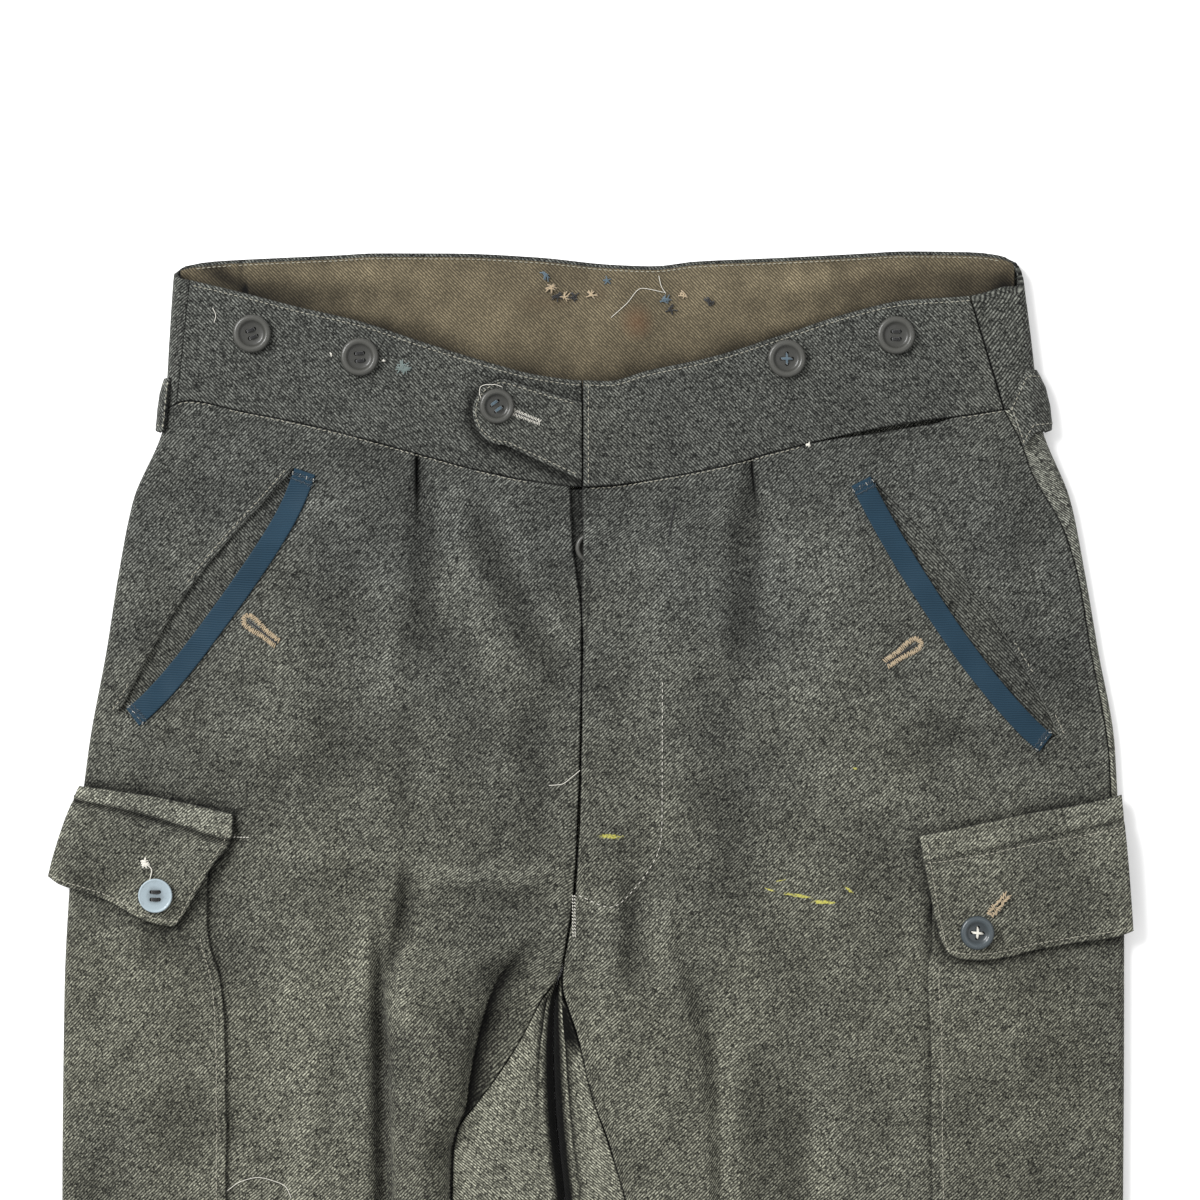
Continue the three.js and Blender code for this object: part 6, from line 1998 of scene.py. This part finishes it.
    def keyhole(self, eye, tail, eye_half, tail_half):
        """The worked edge of a buttonhole: round at the eye and narrow to the tail."""
        eye, tail = np.array(eye, float), np.array(tail, float)
        run = tail - eye
        long = np.linalg.norm(run)
        run /= long
        across = np.array([-run[1], run[0]])
        t = np.linspace(0, 1, 26)
        half = mix(tail_half, eye_half, smooth(0.6, 0.15, t))
        upper = eye + np.outer(t * long, run) + half[:, None] * across
        lower = eye + np.outer(t * long, run) - half[:, None] * across
        turn = np.linspace(QUARTER, 3 * QUARTER, 12)[1:-1]
        cap = eye + eye_half * (np.outer(np.cos(turn), run) + np.outer(np.sin(turn), across))
        return np.concatenate([upper[::-1], cap, lower])


class TROUSERS_OT_threads(bpy.types.Operator):
    """Makes the loose threads and the thread left where buttons came off"""

    bl_idname = "trousers.threads"
    bl_label = "Loose threads"

    def execute(self, context):
        right_leg = [(-170, 441.8), (-163, 437), (-155.3, 435.3), (-148, 437), (-142.4, 439.6), (-139.6, 444.6)]
        tab_end = [(-49.8, 71.4), (-51.2, 67.7), (-50.8, 64.9), (-47.5, 63.7), (-44.2, 63.7), (-40.4, 64.9)]
        loose = [
            lies_on(spline(points, count), surface, raised)
            for points, count, surface, raised in (
                ([(-18.8, 251.5), (-13, 251), (-8, 247.5), (-4.2, 244.4)], 24, on_front(LEFT), 1.6),
                (right_leg, 40, on_front(RIGHT), 0.5),
                (tab_end, 30, tab_height, 0.7),
                ([(-176.7, 27.3), (-175.2, 31), (-176, 34.3)], 14, on_band(RIGHT), 0.4),
                ([(-84.6, 54.6), (-88.4, 54.2), (-87, 57), (-85.2, 57)], 16, on_band(RIGHT), 0.4),
            )
        ]
        tubes("loose_threads", loose, "pale_thread", 0.16)
        inside = LINING_TOP + 0.45
        long = [(32.9, 11.8), (34, 16.5), (36.2, 20.2)], [(35.7, 19.7), (25, 17.7), (17.7, 25), (10.4, 31.5)]
        lines = [np.c_[spline(p, 24), np.zeros(24)] for p in long]
        lines = [place(line[:, 0], line[:, 1], inside + 0.1) for line in lines]
        tubes("lining_threads", lines, "pale_thread", 0.15)
        for colour, count, places in (
            ("blue", 6, ((-20.5, 11.8), (36.1, 23), (8.5, 14.1))),
            ("beige", 6, ((-17.9, 17.7), (-11, 21.6), (1.5, 20.7), (44.4, 20.9))),
            ("black", 5, ((-15, 21.6), (-7.2, 21.7), (38.7, 27.6), (56.4, 24.1))),
        ):
            self.tufts(f"lining_tufts_{colour}", places, f"{colour}_thread", inside, count)
        on_band_z = float(band_height(RIGHT, -90, 54)) + 0.2
        self.tufts("band_tufts", ((-87, 54.5), (-85.6, 56.5), (-88, 56)), "green_thread", on_band_z, 6)
        self.tufts("band_specks", ((-120.8, 49.3), (-96.3, 52.2)), "pale_thread", on_band_z, 2, 0.9)
        knot = float(flap_height(RIGHT, -207.7, 287.6, 0.6)) + FLAP_CLOTH + 0.5
        self.tufts("flap_knot", ((-208.2, 286.8), (-207.2, 288.4), (-208.4, 288.6)), "pale_thread", knot, 7, 1.7)
        line = spline([(-207.4, 288), (-204.6, 291), (-205.6, 296)], 12)
        tubes("flap_knot_thread", [place(line[:, 0], line[:, 1], knot + 0.4)], "pale_thread", 0.28)
        seam_end = float(front_height(LEFT, 102.9, 92)) + 1.0
        self.tufts("seam_knot", ((102.9, 91.6),), "pale_thread", seam_end, 5, 1.2)
        return {"FINISHED"}

    def tufts(self, name, places, material, z, count, size=2.7):
        """Little knots of cut thread."""
        rng = np.random.default_rng(len(name))
        lines = []
        for x, drop in places:
            for _ in range(count):
                a = rng.uniform(0, 2 * math.pi)
                reach = rng.uniform(0.45, 1.15) * size
                mid = rng.uniform(-0.3, 0.3, 2) * size
                points = [
                    (x - reach * math.cos(a), drop - reach * math.sin(a)),
                    (x + mid[0], drop + mid[1]),
                    (x + reach * math.cos(a + 0.6), drop + reach * math.sin(a + 0.6)),
                ]
                line = spline(points, 9)
                lines.append(place(line[:, 0], line[:, 1], z + 0.5 * np.sin(np.linspace(0, math.pi, 9))))
        return tubes(name, lines, material, 0.28)


SENSOR = 36
VIEW_CENTRE = (0.0052, 0.3555)  # what the camera looks straight down at


class TROUSERS_OT_stage(bpy.types.Operator):
    """Makes the floor, the lights and the camera"""

    bl_idname = "trousers.stage"
    bl_label = "Stage"

    def execute(self, context):
        sizes = context.scene.trouser_sizes
        mesh = bpy.data.meshes.new("floor")
        mesh.from_pydata([(-4, -4, 0), (4, -4, 0), (4, 4, 0), (-4, 4, 0)], [], [(0, 1, 2, 3)])
        floor = linked("floor", mesh)
        material, tree, principled = shader("Pale floor", 0.9)
        principled.inputs["Base Color"].default_value = (0.93, 0.93, 0.93, 1)
        mesh.materials.append(material)
        world = bpy.data.worlds.new("Studio")
        context.scene.world = world
        world.use_nodes = True
        world.node_tree.nodes["Background"].inputs["Color"].default_value = (1, 1, 1, 1)
        world.node_tree.nodes["Background"].inputs["Strength"].default_value = 0.8
        self.light("key", (-2.8, 2.1, 2.7), 1.9, 290)
        self.light("fill", (1.2, 0.2, 1.9), 1.8, 12)
        data = bpy.data.cameras.new("camera")
        camera = linked("camera", data)
        data.sensor_width = SENSOR
        data.lens = SENSOR * sizes.camera_height / sizes.view_width
        camera.location = (*VIEW_CENTRE, sizes.camera_height + 0.008)
        context.scene.camera = camera
        context.scene.view_settings.view_transform = "Standard"
        return {"FINISHED"}

    def light(self, name, at, size, power):
        data = bpy.data.lights.new(name, "AREA")
        data.size = size
        data.energy = power
        lamp = linked(name, data)
        lamp.location = at
        aim = Vector((0, 0.35, 0)) - Vector(at)
        lamp.rotation_euler = aim.to_track_quat("-Z", "Y").to_euler()


class TROUSERS_PT_panel(bpy.types.Panel):
    """Lists the trousers' settings and pieces"""

    bl_label = "Trousers"
    bl_idname = "TROUSERS_PT_panel"
    bl_space_type = "VIEW_3D"
    bl_region_type = "UI"
    bl_category = "Trousers"

    def draw(self, context):
        for settings in (context.scene.trouser_sizes, context.scene.trouser_colours):
            for name in settings.bl_rna.properties.keys():
                if name not in ("rna_type", "name"):
                    self.layout.prop(settings, name)
        for operator in OPERATORS:
            self.layout.operator(operator.bl_idname)


OPERATORS = (
    TROUSERS_OT_fronts,
    TROUSERS_OT_backs,
    TROUSERS_OT_waistband,
    TROUSERS_OT_closure,
    TROUSERS_OT_straps,
    TROUSERS_OT_hip_pockets,
    TROUSERS_OT_thigh_pockets,
    TROUSERS_OT_buttons,
    TROUSERS_OT_stitching,
    TROUSERS_OT_threads,
    TROUSERS_OT_stage,
)
CLASSES = (TrouserSizes, TrouserColours) + OPERATORS + (TROUSERS_PT_panel,)


def register():
    for made in CLASSES:
        bpy.utils.register_class(made)
    bpy.types.Scene.trouser_sizes = bpy.props.PointerProperty(type=TrouserSizes)
    bpy.types.Scene.trouser_colours = bpy.props.PointerProperty(type=TrouserColours)


def unregister():
    del bpy.types.Scene.trouser_colours
    del bpy.types.Scene.trouser_sizes
    for made in reversed(CLASSES):
        bpy.utils.unregister_class(made)


def main():
    register()
    make_materials()
    for operator in OPERATORS:
        group, name = operator.bl_idname.split(".")
        getattr(getattr(bpy.ops, group), name)()


if __name__ == "__main__":
    main()
